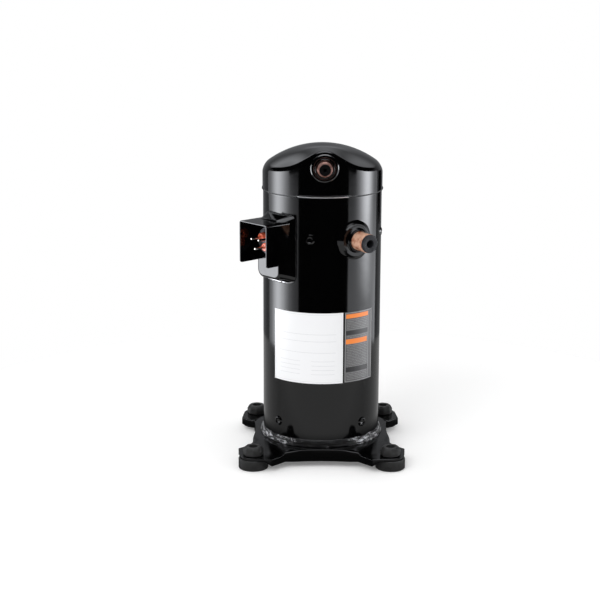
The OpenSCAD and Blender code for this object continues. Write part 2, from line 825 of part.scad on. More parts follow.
module fixed_scroll() {
  color("#8f9296") difference() {
    union() {
      translate([0, 0, fixed_z]) cylinder(r = fixed_r, h = fixed_base_t);
      translate([0, 0, orbit_top + seat]) tube(fixed_r, cavity_r, wrap_h);
      translate([0, 0, orbit_top + seat]) intersection() {
        linear_extrude(wrap_h) rotate([0, 0, 180]) wrap(radians_to_turn(cavity_r + wrap_t));
        cylinder(r = cavity_r + 1, h = wrap_h);
      }
      inside_shell(seat) at_posts() translate([0, 0, post_top]) difference() {
        translate([-post_w / 2, bolt_circle_r - bore_r - 3, 0])
          cube([post_w, bore_r - fixed_r + 8, fixed_z - post_top]);
        translate([-post_w, bolt_circle_r - fixed_r + 4, -eps]) cube([2 * post_w, 20, 40]);
      }
    }
    translate([0, 0, fixed_z - eps]) cylinder(d = port_d, h = 2 * fixed_base_t);
    translate([0, 0, recess_z]) cylinder(r = recess_r, h = 2 * fixed_base_t);
    translate([0, 0, seal_z]) tube(seal_r1, seal_r0, 2 * fixed_base_t);
    at_posts() cylinder(d = scroll_bolt_d + 0.6, h = 2 * fixed_top);
    at_posts() translate([0, 0, fixed_z]) cylinder(d = scroll_bolt_head_d + 1, h = fixed_base_t + 1);
    facing(suction_az, suction_z) translate([0, 0, cavity_r - 4])
      linear_extrude(20) rounded_rect(26, 20, 5);
  }
}

module scroll_bolts() {
  length = 36;
  color("#6d6f73") at_posts() {
    translate([0, 0, fixed_z - length]) cylinder(d = scroll_bolt_d, h = length);
    translate([0, 0, fixed_z]) difference() {
      cylinder(d = scroll_bolt_head_d, h = scroll_bolt_d);
      translate([0, 0, scroll_bolt_d / 2]) cylinder(d = 5.7, h = scroll_bolt_d, $fn = 6);
    }
  }
}

module orbiting_scroll() {
  color("#a3a6a9") translate([orbit_r, 0, 0]) difference() {
    union() {
      translate([0, 0, thrust_z]) cylinder(r = orbit_base_r, h = orbit_base_t);
      translate([0, 0, orbit_top - eps]) linear_extrude(wrap_h + eps) wrap(wrap_end);
      translate([0, 0, hub_z]) cylinder(r = hub_r, h = thrust_z - hub_z + eps);
    }
    translate([0, 0, hub_z - eps]) cylinder(d = bush_d + 2 * bearing_t + 2 * slip, h = thrust_z - hub_z);
    for (s = [-1, 1]) translate([-key_w / 2 - key_gap, s > 0 ? keyway_r0 : -keyway_r0 - 30, thrust_z - eps])
      cube([key_w + 2 * key_gap, 30, key_h + key_floor]);
  }
}

module drive_bearing() {
  color("#b99a56") translate([orbit_r, 0, hub_z])
    tube(bush_d / 2 + bearing_t, bush_d / 2 + slip, bush_z + bush_h - hub_z - 1);
}

module oldham_ring() {
  color("#9a9da0") translate([orbit_r, 0, 0]) {
    translate([0, 0, ring_z]) difference() {
      union() {
        cylinder(r = ring_r1, h = ring_t);
        for (q = [0 : 3]) rotate([0, 0, 90 * q]) translate([key_r, 0, ring_t / 2])
          cube([key_len, key_w + 4, ring_t], center = true);
      }
      translate([0, 0, -eps]) cylinder(r = ring_r0, h = ring_t + 2 * eps);
    }
    for (s = [-1, 1]) {
      translate([s * key_r - key_len / 2, -key_w / 2, ring_z - key_h]) cube([key_len, key_w, key_h + eps]);
      translate([-key_w / 2, s * key_r - key_len / 2, ring_z + ring_t - eps])
        cube([key_w, key_len, thrust_z + key_h - ring_z - ring_t]);
    }
  }
}

module main_housing() {
  well_r = thrust_r0;
  color("#77797c") inside_shell(seat) difference() {
    union() {
      translate([0, 0, flange_z]) cylinder(r = post_r0 + 3, h = flange_t);
      translate([0, 0, housing_hub_z]) cylinder(r = well_r - 3, h = flange_z - housing_hub_z + 1);
      translate([0, 0, flange_z - 10]) cylinder(r1 = well_r - 3, r2 = well_r + 12, h = 10 + eps);
      translate([0, 0, flange_top - eps]) tube(thrust_r1, thrust_r0, thrust_z - flange_top - slip);
      at_posts() translate([0, 0, flange_z]) ear(post_top - flange_z);
    }
    translate([0, 0, housing_hub_z - eps]) cylinder(d = journal_d + 7, h = flange_z);
    translate([0, 0, flange_z + seat]) cylinder(r = well_r, h = flange_t + 20);
    for (s = [-1, 1]) {
      reach = key_r - keyway_r0;
      translate([s * key_r - reach, -key_w / 2 - key_gap, ring_z - key_h - key_floor])
        cube([2 * reach, key_w + 2 * key_gap, key_h + 1]);
    }
    at_posts() translate([0, 0, fixed_z - 38]) cylinder(d = scroll_bolt_d + 2 * slip, h = 80);
  }
}

module main_bearing() {
  color("#b99a56") translate([0, 0, housing_hub_z])
    tube(journal_d / 2 + 3.5 - slip, journal_d / 2 + slip, flange_z - housing_hub_z);
}

module partition_plate() {
  hub_z0 = fixed_top + 10;
  hub_r1 = seal_r1 + 4;
  slope_r = hub_r1 + 14;
  color("#7d8084") difference() {
    rotate_extrude() polygon([
      [14, hub_z0], [hub_r1, hub_z0], [slope_r, tube_top], [shell_r, tube_top],
      [shell_r, top_seam_z], [slope_r - 1.5, top_seam_z], [hub_r1 - 1.5, hub_z0 + rim_t],
      [14, hub_z0 + rim_t]]);
    relief_place() cylinder(d = relief_d + 2 * slip, h = 40, center = true);
  }
}

relief_d = 9;

module relief_place() {
  rotate([0, 0, 150]) translate([0, -(seal_r1 + 28), tube_top]) children();
}

module relief_valve() {
  color("#b08d4a") relief_place() {
    translate([0, 0, -5]) cylinder(d = relief_d, h = rim_t + 5 + 3);
    translate([0, 0, rim_t + eps]) cylinder(d = relief_d + 4, h = 2, $fn = 6);
  }
}

module floating_seal() {
  lip_z = fixed_top + 10 - 0.8;
  color("#3f4246") translate([0, 0, seal_z + seat]) difference() {
    union() {
      cylinder(r = seal_r1 - seat, h = 12);
      cylinder(r = seal_r0 + 5, h = lip_z - seal_z - seat);
    }
    translate([0, 0, -eps]) cylinder(r = seal_r0 + seat, h = 40);
  }
}

module valve_disc() {
  color("#c8cacc") translate([0, 0, recess_z]) cylinder(r = valve_r, h = 1);
}

module valve_guard() {
  color("#8d9094") translate([0, 0, recess_z + 3.7]) difference() {
    cylinder(r = recess_r - slip, h = 2);
    for (a = [0 : 60 : 300]) rotate([0, 0, a]) translate([5.6, 0, -eps]) cylinder(d = 3.6, h = 3);
    translate([0, 0, -eps]) cylinder(d = 4, h = 3);
  }
}

baffle_t = 1.2;

module suction_baffle() {
  half = 20;
  r = post_r0 + 6;
  z0 = flange_top + 12;
  z1 = post_top + 12;
  color("#85888c") sector(suction_az - half, suction_az + half) {
    translate([r, z0]) square([baffle_t, z1 - z0]);
    translate([r, z0]) square([bore_r - r - seat, baffle_t]);
  }
}

// ---------------------------------------------------------------- drive line

module crankshaft() {
  stop_d = 6;
  color("#9b9ea1") difference() {
    union() {
      translate([0, 0, housing_hub_z - 6]) cylinder(d = journal_d, h = shaft_top - housing_hub_z + 6);
      translate([0, 0, core_z - 14]) cylinder(d = shaft_d, h = housing_hub_z - core_z + 9);
      translate([0, 0, shaft_bottom]) cylinder(d = low_journal_d, h = core_z - 14 - shaft_bottom + eps);
      translate([orbit_r / 2, bush_d / 2 - 4.4, shaft_top - eps]) cylinder(d = stop_d, h = 6);
    }
    translate([orbit_r / 2, 0, shaft_top - 14]) cylinder(d = drive_pin_d + 2 * slip, h = 20);
    translate([0, 0, shaft_bottom - eps]) cylinder(d = 5, h = shaft_top - shaft_bottom - 18);
  }
}

module drive_pin() {
  color("#d2d4d6") translate([orbit_r / 2, 0, shaft_top - 13.9])
    cylinder(d = drive_pin_d, h = 13.9 + bush_h - 4.1);
}

module drive_bush() {
  color("#6f7276") translate([0, 0, bush_z]) difference() {
    translate([orbit_r, 0, 0]) cylinder(d = bush_d, h = bush_h);
    translate([orbit_r / 2, 0, -eps]) cylinder(d = drive_pin_d + 2 * slip, h = bush_h - 4);
    translate([orbit_r / 2, bush_d / 2 - 4.4, -eps]) cylinder(d = 6.4, h = 6.2);
  }
}

module upper_counterweight() {
  z0 = core_top + ring_h + weight_gap;
  h = 21;
  color("#7c7f83") translate([0, 0, z0]) difference() {
    union() {
      cylinder(d = shaft_d + 12, h = h);
      sector(-180, 0) translate([shaft_d / 2 + 2, 0]) square([turn_r0 - 5 - shaft_d / 2, h]);
    }
    translate([0, 0, -eps]) cylinder(d = shaft_d + 2 * slip, h = h + 2 * eps);
  }
}

module rotor_core() {
  color("#5d6064") translate([0, 0, core_z]) difference() {
    cylinder(r = rotor_r, h = core_h);
    translate([0, 0, -eps]) cylinder(d = shaft_d, h = core_h + 2 * eps);
    for (k = [0 : 3]) rotate([0, 0, 90 * k + 45]) translate([22, 0, -eps])
      cylinder(d = 7, h = core_h + 2 * eps);
  }
}

module rotor_end_rings() {
  color("#b4b7ba") for (z = [core_z - ring_h, core_top]) translate([0, 0, z])
    tube(rotor_r - 0.8, rotor_r - 14, ring_h);
}

module lower_counterweight() {
  color("#7c7f83") translate([0, 0, core_z - ring_h - 9]) difference() {
    sector(0, 180) translate([rotor_r - 14, 0]) square([13, 9]);
    for (a = [45, 135]) rotate([0, 0, a - 90]) translate([rotor_r - 7.5, 0, -eps]) cylinder(d = 5, h = 4);
  }
}

// ---------------------------------------------------------------- motor

slot_open = 3;
slot_r0 = stator_bore / 2 + 3;
slot_r1 = slot_r0 + 19;

// One slot between two teeth; grow widens it
module slot(grow) {
  half = 180 / slots;
  tooth = 5;
  w0 = 2 * slot_r0 * sin(half) - tooth + 2 * grow;
  w1 = 2 * slot_r1 * sin(half) - tooth + 2 * grow;
  polygon([[slot_r0 - grow, -w0 / 2], [slot_r1 + grow, -w1 / 2], [slot_r1 + grow, w1 / 2],
    [slot_r0 - grow, w0 / 2]]);
}

module stator_core() {
  color("#6c6f73") translate([0, 0, core_z]) linear_extrude(core_h) difference() {
    circle(r = bore_r - slip);
    circle(d = stator_bore);
    for (k = [0 : slots - 1]) rotate(360 * k / slots) {
      slot(0);
      translate([stator_bore / 2 - 2, -slot_open / 2]) square([8, slot_open]);
    }
    for (k = [0 : 5]) rotate(60 * k + 15) translate([bore_r, 0]) square([7, 26], center = true);
  }
}

// End turns joined through the slots
module stator_winding() {
  round_r = 5;
  into_turns = 9;
  color("#a8552f") {
    for (z = [core_top, core_z - turn_h]) translate([0, 0, z]) rotate_extrude()
      translate([(turn_r0 + turn_r1) / 2, turn_h / 2]) rounded_rect(turn_r1 - turn_r0, turn_h, round_r);
    for (k = [0 : slots - 1]) rotate([0, 0, 360 * k / slots])
      translate([0, 0, core_z - into_turns]) linear_extrude(core_h + 2 * into_turns) slot(-0.6);
  }
}

module motor_protector() {
  color("#3b3d40") rotate([0, 0, 120]) translate([0, -(turn_r0 + turn_r1) / 2, core_top + turn_h])
    cylinder(r = 8, h = 8);
}

module lower_bracket() {
  z0 = shaft_bottom - 3.6;
  floor_t = 2;
  arm_h = 12;
  arm_w = 24;
  hub = low_journal_d / 2 + 10;
  hub_h = 34;
  shoe_w = 26;
  shoe_t = 9;
  shoe_h = 21;
  shoe_drop = 10;
  pickup_d = 11;
  color("#6f7276") inside_shell(seat) difference() {
    union() {
      translate([0, 0, z0]) cylinder(r = hub, h = hub_h);
      for (k = [0 : stake_count - 1]) rotate([0, 0, low_stake_az + k * 360 / stake_count]) {
        translate([-arm_w / 2, -bore_r, low_stake_z - arm_h / 2]) cube([arm_w, bore_r, arm_h]);
        translate([-shoe_w / 2, -bore_r, low_stake_z - shoe_drop]) cube([shoe_w, shoe_t, shoe_h]);
      }
    }
    translate([0, 0, z0 + floor_t]) cylinder(d = low_journal_d + 6, h = 2 * hub_h);
    translate([0, 0, z0 - eps]) cylinder(d = pickup_d, h = 2 * floor_t);
  }
}

module lower_bearing() {
  color("#b99a56") translate([0, 0, shaft_bottom + 2])
    tube(low_journal_d / 2 + 3 - slip, low_journal_d / 2 + slip, 26);
}

module thrust_washer() {
  color("#8b8e91") translate([0, 0, shaft_bottom - 1.6]) tube(low_journal_d / 2 + 2.5, 4.5, 1.5);
}

module oil_pickup() {
  color("#8f9296") translate([0, 0, sump_z + shell_t + 8]) difference() {
    cylinder(d = 8, h = shaft_bottom - sump_z - shell_t - 8);
    translate([0, 0, -eps]) cylinder(d = 5, h = 60);
  }
}

module sump_magnet() {
  color("#55585c") translate([38, 0, sump_z + shell_t]) tube(11, 4, 4);
}

base_plate();
grommets();
lower_shell();
lower_weld();
center_shell();
weld_plugs();
upper_weld();
top_cap();
discharge_fitting();
discharge_stub();
discharge_plug();
suction_collar();
suction_stub();
suction_plug();
terminal_pad();
terminal_fence();
terminal_body();
terminal_insulators();
terminal_pins();
terminal_block();
sticker_white();
sticker_grey();
partition_plate();
relief_valve();
floating_seal();
valve_disc();
valve_guard();
fixed_scroll();
scroll_bolts();
orbiting_scroll();
drive_bearing();
oldham_ring();
main_housing();
main_bearing();
suction_baffle();
drive_pin();
drive_bush();
crankshaft();
upper_counterweight();
rotor_core();
rotor_end_rings();
lower_counterweight();
stator_core();
stator_winding();
motor_protector();
lower_bracket();
lower_bearing();
thrust_washer();
oil_pickup();
sump_magnet();
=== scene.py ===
# %% [markdown]
# # A hermetic scroll compressor
#
# The part is a tall welded steel can on four rubber feet, sprayed all over with glossy black enamel,
# with two copper stubs, a fenced terminal and two film stickers on its front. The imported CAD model
# gives every size and every moving body. This lesson makes the outside look real: each outer piece is
# modelled again with rounded edges, weld beads and soft corners, and every piece gets a procedural
# material. The sealed insides keep their CAD meshes and only get materials.

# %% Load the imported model
import json
import math
import random

import bpy
from mathutils import Matrix, Vector, noise


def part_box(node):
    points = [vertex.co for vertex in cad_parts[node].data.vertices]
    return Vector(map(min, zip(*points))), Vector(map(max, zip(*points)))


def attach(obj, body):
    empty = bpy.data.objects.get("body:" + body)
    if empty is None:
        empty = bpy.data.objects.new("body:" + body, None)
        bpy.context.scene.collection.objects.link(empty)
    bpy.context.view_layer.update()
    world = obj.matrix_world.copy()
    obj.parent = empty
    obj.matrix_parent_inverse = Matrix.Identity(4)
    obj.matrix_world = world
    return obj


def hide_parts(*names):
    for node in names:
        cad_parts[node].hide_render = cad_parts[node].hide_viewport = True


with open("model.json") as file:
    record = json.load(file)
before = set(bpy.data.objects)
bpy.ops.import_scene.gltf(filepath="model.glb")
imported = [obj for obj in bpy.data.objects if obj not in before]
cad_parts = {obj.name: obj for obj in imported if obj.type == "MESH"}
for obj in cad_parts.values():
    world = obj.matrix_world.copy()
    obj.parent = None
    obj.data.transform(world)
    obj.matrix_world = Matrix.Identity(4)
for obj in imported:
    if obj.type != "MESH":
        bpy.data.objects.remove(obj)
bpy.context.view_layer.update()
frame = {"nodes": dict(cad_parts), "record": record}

nodes = frame["nodes"]
record = frame["record"]

# %% [markdown]
# ## Places
#
# The pieces are drawn in millimetres, so a helper length MM turns them into metres. Three things
# stick out of the can sideways: the discharge stub, the suction stub and the terminal. Each has a
# mount in the record, with a point and an outward axis, and from those comes a local frame: x runs
# sideways round the can, y up, and z outward from the can's axis.

# %% Units and local frames
MM = 0.001
mounts = {m["name"]: m for m in record["mounts"]}


def facing(mount):
    axis = Vector(mounts[mount]["axis"]).normalized()
    height = mounts[mount]["pos_m"][2]
    return Matrix((
        (-axis.y, 0, axis.x, 0),
        (axis.x, 0, axis.y, 0),
        (0, 1, 0, height),
        (0, 0, 0, 1),
    ))


def azimuth(mount):
    axis = mounts[mount]["axis"]
    return math.atan2(axis[0], -axis[1])


DISCHARGE, SUCTION, TERMINAL = "discharge_stub", "suction_stub", "terminal_pins"
for mount in (DISCHARGE, SUCTION, TERMINAL):
    print(mount, "faces", round(math.degrees(azimuth(mount)), 1), "degrees from the front")


# %% Sizes read from the CAD nodes
def size_of(node):
    low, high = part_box(node)
    return (high - low) / MM


def top_of(node):
    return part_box(node)[1].z / MM


def foot_of(node):
    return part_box(node)[0].z / MM


shell_r = size_of("lower_shell").x / 2
cap_r = size_of("top_cap").x / 2
apex_z = top_of("top_cap")
top_seam_z = foot_of("top_cap")
print("shell radius", round(shell_r, 2), "cap radius", round(cap_r, 2), "apex", round(apex_z, 1))

# %% [markdown]
# ## Shader maths as Python
#
# A procedural material is a chain of nodes. To keep the recipes readable, Value wraps a socket and
# overloads the arithmetic operators, so that 0.2 + 0.1 * grain adds its Math nodes by itself. Recipe
# holds one material, and its node method adds any other node.


# %% A socket that can be added and multiplied
class Value:
    def __init__(self, tree, socket):
        self.tree, self.socket = tree, socket

    def math(self, operation, *values):
        return add_node(self.tree, "ShaderNodeMath", {"operation": operation}, values)

    def __add__(self, other):
        return self.math("ADD", self, other)

    def __sub__(self, other):
        return self.math("SUBTRACT", self, other)

    def __rsub__(self, other):
        return self.math("SUBTRACT", other, self)

    def __mul__(self, other):
        return self.math("MULTIPLY", self, other)

    def __truediv__(self, other):
        return self.math("DIVIDE", self, other)

    def __pow__(self, other):
        return self.math("POWER", self, other)

    def __gt__(self, other):
        return self.math("GREATER_THAN", self, other)

    def __lt__(self, other):
        return self.math("LESS_THAN", self, other)

    __radd__, __rmul__ = __add__, __mul__

    def clamp(self):
        return self.math("MINIMUM", self.math("MAXIMUM", self, 0), 1)


def feed(tree, socket, value):
    if isinstance(value, Value):
        tree.links.new(value.socket, socket)
    elif isinstance(value, (tuple, list)) and len(value) == 3 and socket.type == "RGBA":
        socket.default_value = (*value, 1)
    else:
        socket.default_value = value


def add_node(tree, kind, settings=None, values=None, out=0):
    node = tree.nodes.new(kind)
    for key, setting in (settings or {}).items():
        if key == "stops":
            ramp = node.color_ramp.elements
            while len(ramp) < len(setting):
                ramp.new(0.5)
            for stop, (place, colour) in zip(ramp, setting):
                stop.position, stop.color = place, (*colour, 1)
        else:
            setattr(node, key, setting)
    pairs = values.items() if isinstance(values, dict) else enumerate(values or ())
    for key, value in pairs:
        feed(tree, node.inputs[key], value)
    return Value(tree, node.outputs[out])


# %% A material and its nodes
class Recipe:
    def __init__(self, name, **constants):
        self.material = bpy.data.materials.new(name)
        self.material.use_nodes = True
        self.tree = self.material.node_tree
        self.bsdf = self.tree.nodes["Principled BSDF"]
        self.place = self.node("ShaderNodeTexCoord", out=3)
        for key, value in constants.items():
            self.set(key, value)

    def node(self, kind, settings=None, values=None, out=0):
        return add_node(self.tree, kind, settings, values, out)

    def set(self, key, value):
        feed(self.tree, self.bsdf.inputs[key.replace("_", " ")], value)

    def stretched(self, scale, turn=(0, 0, 0)):
        return self.node("ShaderNodeMapping", None,
                         {"Vector": self.place, "Scale": scale, "Rotation": turn})

    def grain(self, scale, detail=3, roughness=0.5, place=None):
        values = {"Vector": place or self.place, "Scale": scale, "Detail": detail,
                  "Roughness": roughness}
        return self.node("ShaderNodeTexNoise", None, values)

    def mix(self, factor, first, second):
        values = {0: factor, 6: first, 7: second}
        return self.node("ShaderNodeMix", {"data_type": "RGBA"}, values, out=2)

    def bump(self, height, strength, distance=1 * MM):
        values = {"Strength": strength, "Distance": distance, "Height": height}
        self.set("Normal", self.node("ShaderNodeBump", None, values))


print("noise nodes are measured in metres, so a scale of 1000 gives millimetre grains")
# %% [markdown]
# ## Black enamel
#
# The can, its cap, its base and its fittings are sprayed together in glossy black. Sprayed enamel is
# never a perfect mirror: it has a fine orange peel, slow waves from the rolled sheet below it, and a
# little dust. The colour stays almost black, and a bump with two sizes of noise does the rest.

# %% Enamel
INK = (0.0005, 0.0005, 0.0006)


def enamel(name, peel=0.022, roughness=0.07, waves=0.05, sheen=0.5):
    paint = Recipe(name, IOR=1.45, Specular_IOR_Level=sheen)
    fine = paint.grain(620, 2)
    slow = paint.grain(26, 2)
    dust = paint.grain(2300, 1) > 0.735
    paint.set("Base_Color", paint.mix(dust * 0.4, INK, (0.02, 0.02, 0.021)))
    paint.set("Roughness", roughness + 0.05 * slow + 0.2 * dust)
    paint.bump(fine * peel + slow * waves * 20, 0.12)
    return paint.material


black = enamel("black enamel")
thick_black = enamel("enamel on a weld", peel=0.3, roughness=0.1, waves=0.2, sheen=0.6)
ring_black = enamel("enamel on the ring", peel=0.06, roughness=0.07, sheen=1.0)
sheet_black = enamel("enamel on sheet", peel=0.02, roughness=0.05, waves=0.02)
box_black = enamel("enamel on the box", peel=0.03, roughness=0.06, waves=0.5)
plate_black = enamel("enamel on the base", peel=0.05, roughness=0.1, waves=0.09)
print("enamel ready")

# %% [markdown]
# ## Bare weld, with painted highlights
#
# The wide bead between the can and its base is left half bare: bright steel where the arc wetted it,
# dark oxide and overspray in the hollows. One noise decides which, and it feeds the colour, the
# metallic value and the roughness together, so the patches agree. The bead is also painted barer and
# brighter towards the sides of the can, a painted highlight where the side softboxes are mirrored. The
# cap's seam uses the same recipe, with a painted glint of bare metal only in front, on its lower side.


# %% Weld metal
def weld_metal(name, bare_and_painted_highlight):
    """The place function says how much metal shows, from 0 to 1; at the can's sides and the front of the
    cap's seam it is a painted highlight.
    """
    bead = Recipe(name, IOR=1.5)
    x, y, z = (bead.node("ShaderNodeSeparateXYZ", None, [bead.place], out=i) for i in range(3))
    around = bead.node("ShaderNodeMath", {"operation": "ARCTAN2"}, [x, y * -1]) * (shell_r * MM)
    along = bead.node("ShaderNodeCombineXYZ", None, [around, z * 4, (x * x + y * y) ** 0.5 * 4])
    patches = bead.grain(90, 5, 0.62, along)
    speck = bead.grain(900, 2)
    # Where the place function paints a highlight, more bright metal shows than the weld really has.
    metal_and_painted_highlight = ((patches + 0.35 * speck - 1.17 + bare_and_painted_highlight(x, y, z)) * 11).clamp()
    bead.set("Base_Color", bead.mix(metal_and_painted_highlight, (0.001, 0.001, 0.0012), (0.66, 0.66, 0.68)))
    bead.set("Metallic", metal_and_painted_highlight)
    bead.set("Roughness", 0.2 + 0.3 * speck)
    bead.bump(speck + patches, 0.6)
    return bead.material


# Painted highlight: more bright metal towards the sides of the can, where the side softboxes are mirrored.
def painted_side_highlight(x, y, z):
    return 0.29 + 0.2 * ((x.math("ABSOLUTE", x) - 0.03) * 50).clamp()


def below_the_box(x, y, z):
    return 0.2 + 0.42 * ((0.2625 - z) * 300).clamp()


def painted_front_glint(x, y, z):
    """Painted glint: metal shows over a hand's width in front, on the seam's lower side only."""
    front = (y < 0) * ((0.037 - x.math("ABSOLUTE", x)) * 200).clamp()
    return front * (z < (top_seam_z - 0.2) * MM) * 1.1


weld_with_painted_side_highlight = weld_metal("half bare weld", painted_side_highlight)
seam_with_painted_glint = weld_metal("seam of the cap", painted_front_glint)
foot_bead = weld_metal("weld round the terminal box", below_the_box)
print("weld metal ready")

# %% [markdown]
# ## Rubber
#
# The grommets are moulded in a matt black rubber that greys a little on its edges; the stub plugs are
# a denser rubber with a cooler tone. Rubber scatters light at its surface, so it is rough, with a fine
# skin texture and faint scuffs.


# %% Rubber
def rubber(name, dark, light, roughness, sheen=0.5):
    skin = Recipe(name, IOR=1.5, Specular_IOR_Level=sheen)
    fine = skin.grain(1600, 3)
    scuff = skin.grain(120, 5, 0.65)
    skin.set("Base_Color", skin.mix((scuff * 2.2 - 0.6).clamp(), dark, light))
    skin.set("Roughness", roughness + 0.16 * scuff)
    skin.bump(fine + 0.5 * scuff, 0.14)
    return skin.material


grommet_rubber = rubber("grommet rubber", (0.011, 0.011, 0.011), (0.028, 0.028, 0.028), 0.42)
plug_rubber = rubber("plug rubber", (0.009, 0.0095, 0.012), (0.022, 0.023, 0.028), 0.5, 0.35)
stopper_black = rubber("small stopper", (0.0012, 0.0012, 0.0014), (0.003, 0.003, 0.0034), 0.5, 0.12)
print("rubber ready")

# %% [markdown]
# ## Drawn copper
#
# Copper tube is drawn through a die and then wiped, which leaves fine lines round it and slow tarnish.
# The noise is read in the tube's own frame and squeezed along its axis, so the lines run round the
# tube. Long light and dark streaks along the tube are painted reflection of the lights it would mirror.
# The stub in the cap was brazed in place and kept a pinker, heat-tinted skin.


# %% Copper
def copper(name, mount, bright, tarnish_and_dark_streak, roughness, metallic):
    tube = Recipe(name, Metallic=metallic)
    turn = (0, 0, -azimuth(mount))
    lines = tube.grain(60, 4, 0.6, tube.stretched((1, 26, 1), turn))
    # Painted reflection: long light and dark streaks along the tube, mixed into its colour.
    painted_reflection_streaks = tube.grain(110, 2, 0.5, tube.stretched((1.6, 0.5, 1.6), turn))
    cloud = tube.grain(75, 3)
    tarnish_and_painted_streaks = (painted_reflection_streaks * 3.6 + cloud * 0.8 + lines * 1.6 - 2.75).clamp()
    tube.set("Base_Color", tube.mix(tarnish_and_painted_streaks, bright, tarnish_and_dark_streak))
    tube.set("Roughness", roughness + 0.22 * lines)
    tube.bump(lines, 0.08)
    return tube.material


suction_copper = copper("drawn copper", SUCTION, (1.0, 0.6, 0.42), (0.5, 0.15, 0.07), 0.1, 0.4)
discharge_copper = copper("brazed copper", DISCHARGE, (0.8, 0.46, 0.4), (0.4, 0.18, 0.14), 0.2, 0.75)
print("copper ready")

# %% [markdown]
# ## Terminal
#
# The header is a dark plated steel plate. Its pins are nickel plated, and each stands in a glossy
# red-orange insulator with slightly uneven colour.

# %% Terminal finishes
header_steel = Recipe("header steel", Metallic=0.9)
mottle = header_steel.grain(260, 4)
header_steel.set("Base_Color", header_steel.mix(mottle, (0.05, 0.05, 0.055), (0.16, 0.16, 0.17)))
header_steel.set("Roughness", 0.3 + 0.2 * mottle)
header_steel.bump(mottle, 0.1)

insulator_red = Recipe("red insulator", IOR=1.5)
mottle = insulator_red.grain(330, 3)
insulator_red.set("Base_Color", insulator_red.mix(mottle, (0.72, 0.08, 0.035), (0.95, 0.24, 0.12)))
insulator_red.set("Roughness", 0.16 + 0.14 * mottle)
insulator_red.bump(mottle, 0.1)

nickel = Recipe("nickel plate", Metallic=1.0)
mottle = nickel.grain(520, 3)
nickel.set("Base_Color", nickel.mix(mottle, (0.62, 0.57, 0.52), (0.82, 0.78, 0.74)))
nickel.set("Roughness", 0.12 + 0.16 * mottle)
nickel.bump(mottle, 0.05)
print("terminal finishes ready")

# %% [markdown]
# ## Film stickers
#
# Two film stickers wrap round the front of the can. Their patterns follow the can's surface, so they
# are drawn on two coordinates made from the object coordinates: the azimuth, turned into millimetres
# round the can, and the height. The white one is a blank form with faint ruled lines. The grey one
# carries plain orange bars and darker bands inside a pale border, and no lettering.


# %% Marks on a sticker
class Film(Recipe):
    def __init__(self, name, node, **constants):
        super().__init__(name, **constants)
        x, y, z = (self.node("ShaderNodeSeparateXYZ", None, [self.place], out=i) for i in range(3))
        self.across = self.node("ShaderNodeMath", {"operation": "ARCTAN2"}, [x, y * -1]) * shell_r
        self.up = z * (1 / MM)
        self.low, self.high = foot_of(node), top_of(node)
        corners = [math.atan2(v.co.x, -v.co.y) for v in nodes[node].data.vertices]
        self.left, self.right = min(corners) * shell_r, max(corners) * shell_r

    def bar(self, left, right, low, high):
        inside_x = (self.across > left) * (self.across < right)
        return inside_x * (self.up > low) * (self.up < high)

    def rule(self, left, right, height, thick=0.35):
        return self.bar(left, right, height, height + thick)

    def frame(self, inset, thick):
        a, b = inset, inset + thick
        outer = self.bar(self.left + a, self.right - a, self.low + a, self.high - a)
        return outer - self.bar(self.left + b, self.right - b, self.low + b, self.high - b)


print("bars, rules and frames are products of comparisons")

# %% White form
white_film = Film("white film", "sticker_white")
w = white_film
middle = (w.left + w.right) / 2
marks = w.frame(2.2, 0.3)
for row in range(4):
    marks = marks + w.rule(w.left + 12, middle - 8, w.low + 13 + 6.2 * row)
    marks = marks + w.rule(middle + 8, w.right - 12, w.low + 13 + 6.2 * row)
for height in (44, 60, 70):
    marks = marks + w.rule(w.left + 10, w.right - 10, w.low + height)
fibre = w.grain(500, 4)
paper = w.mix(fibre * 0.5, (0.88, 0.885, 0.9), (0.82, 0.825, 0.84))
w.set("Base_Color", w.mix(marks.clamp() * 0.45, paper, (0.25, 0.26, 0.28)))
w.set("Roughness", 0.32 + 0.12 * fibre)
w.bump(fibre, 0.03)
print("white film:", round(w.right - w.left), "by", round(w.high - w.low), "mm")

# %% Grey film
grey_film = Film("grey film", "sticker_grey")
g = grey_film
edge = g.right - 9
orange = g.bar(g.left + 2, edge, g.high - 9, g.high - 3)
orange = orange + g.bar(g.left + 2, edge - 2, g.low + 55, g.low + 62)
dark = g.bar(g.left + 2, edge, g.low + 68, g.low + 74) + g.bar(g.left + 2, edge, g.low + 15, g.low + 22)
lines = g.frame(1, 0.5) + g.bar(edge, edge + 0.5, g.low + 3, g.high - 3)
rows = g.node("ShaderNodeMath", {"operation": "FRACT"}, [g.up / 2.3]) > 0.45
block = g.bar(g.left + 3, edge - 1.5, g.low + 3, g.high - 10)
fibre = g.grain(900, 3)
block = block * rows * (fibre > 0.42) * (1 - orange) * (1 - dark)
film = g.mix(fibre * 0.6, (0.075, 0.075, 0.078), (0.11, 0.11, 0.112))
film = g.mix(block * 0.5, film, (0.32, 0.32, 0.32))
film = g.mix(dark, film, (0.02, 0.02, 0.021))
film = g.mix(orange, film, (0.9, 0.24, 0.035))
g.set("Base_Color", g.mix(lines.clamp() * 0.8, film, (0.5, 0.5, 0.5)))
g.set("Roughness", 0.34 + 0.12 * fibre)
g.bump(fibre, 0.03)
print("grey film:", round(g.right - g.left), "by", round(g.high - g.low), "mm")

# %% [markdown]
# ## Metals inside the can
#
# The sealed pieces are seen only when the can is opened, but each still has the finish of its
# making: cast skin, turning lines, ground faces, stacked laminations, varnished wire.


# %% Plain metals by how they were made
def metal(name, dark, light, roughness, scale=180, stretch=(1, 1, 1), strength=0.15, metallic=1.0):
    made = Recipe(name, Metallic=metallic)
    grain = made.grain(scale, 5, 0.6, made.stretched(stretch))
    made.set("Base_Color", made.mix(grain, dark, light))
    made.set("Roughness", roughness + 0.25 * grain)
    made.bump(grain, strength)
    return made.material


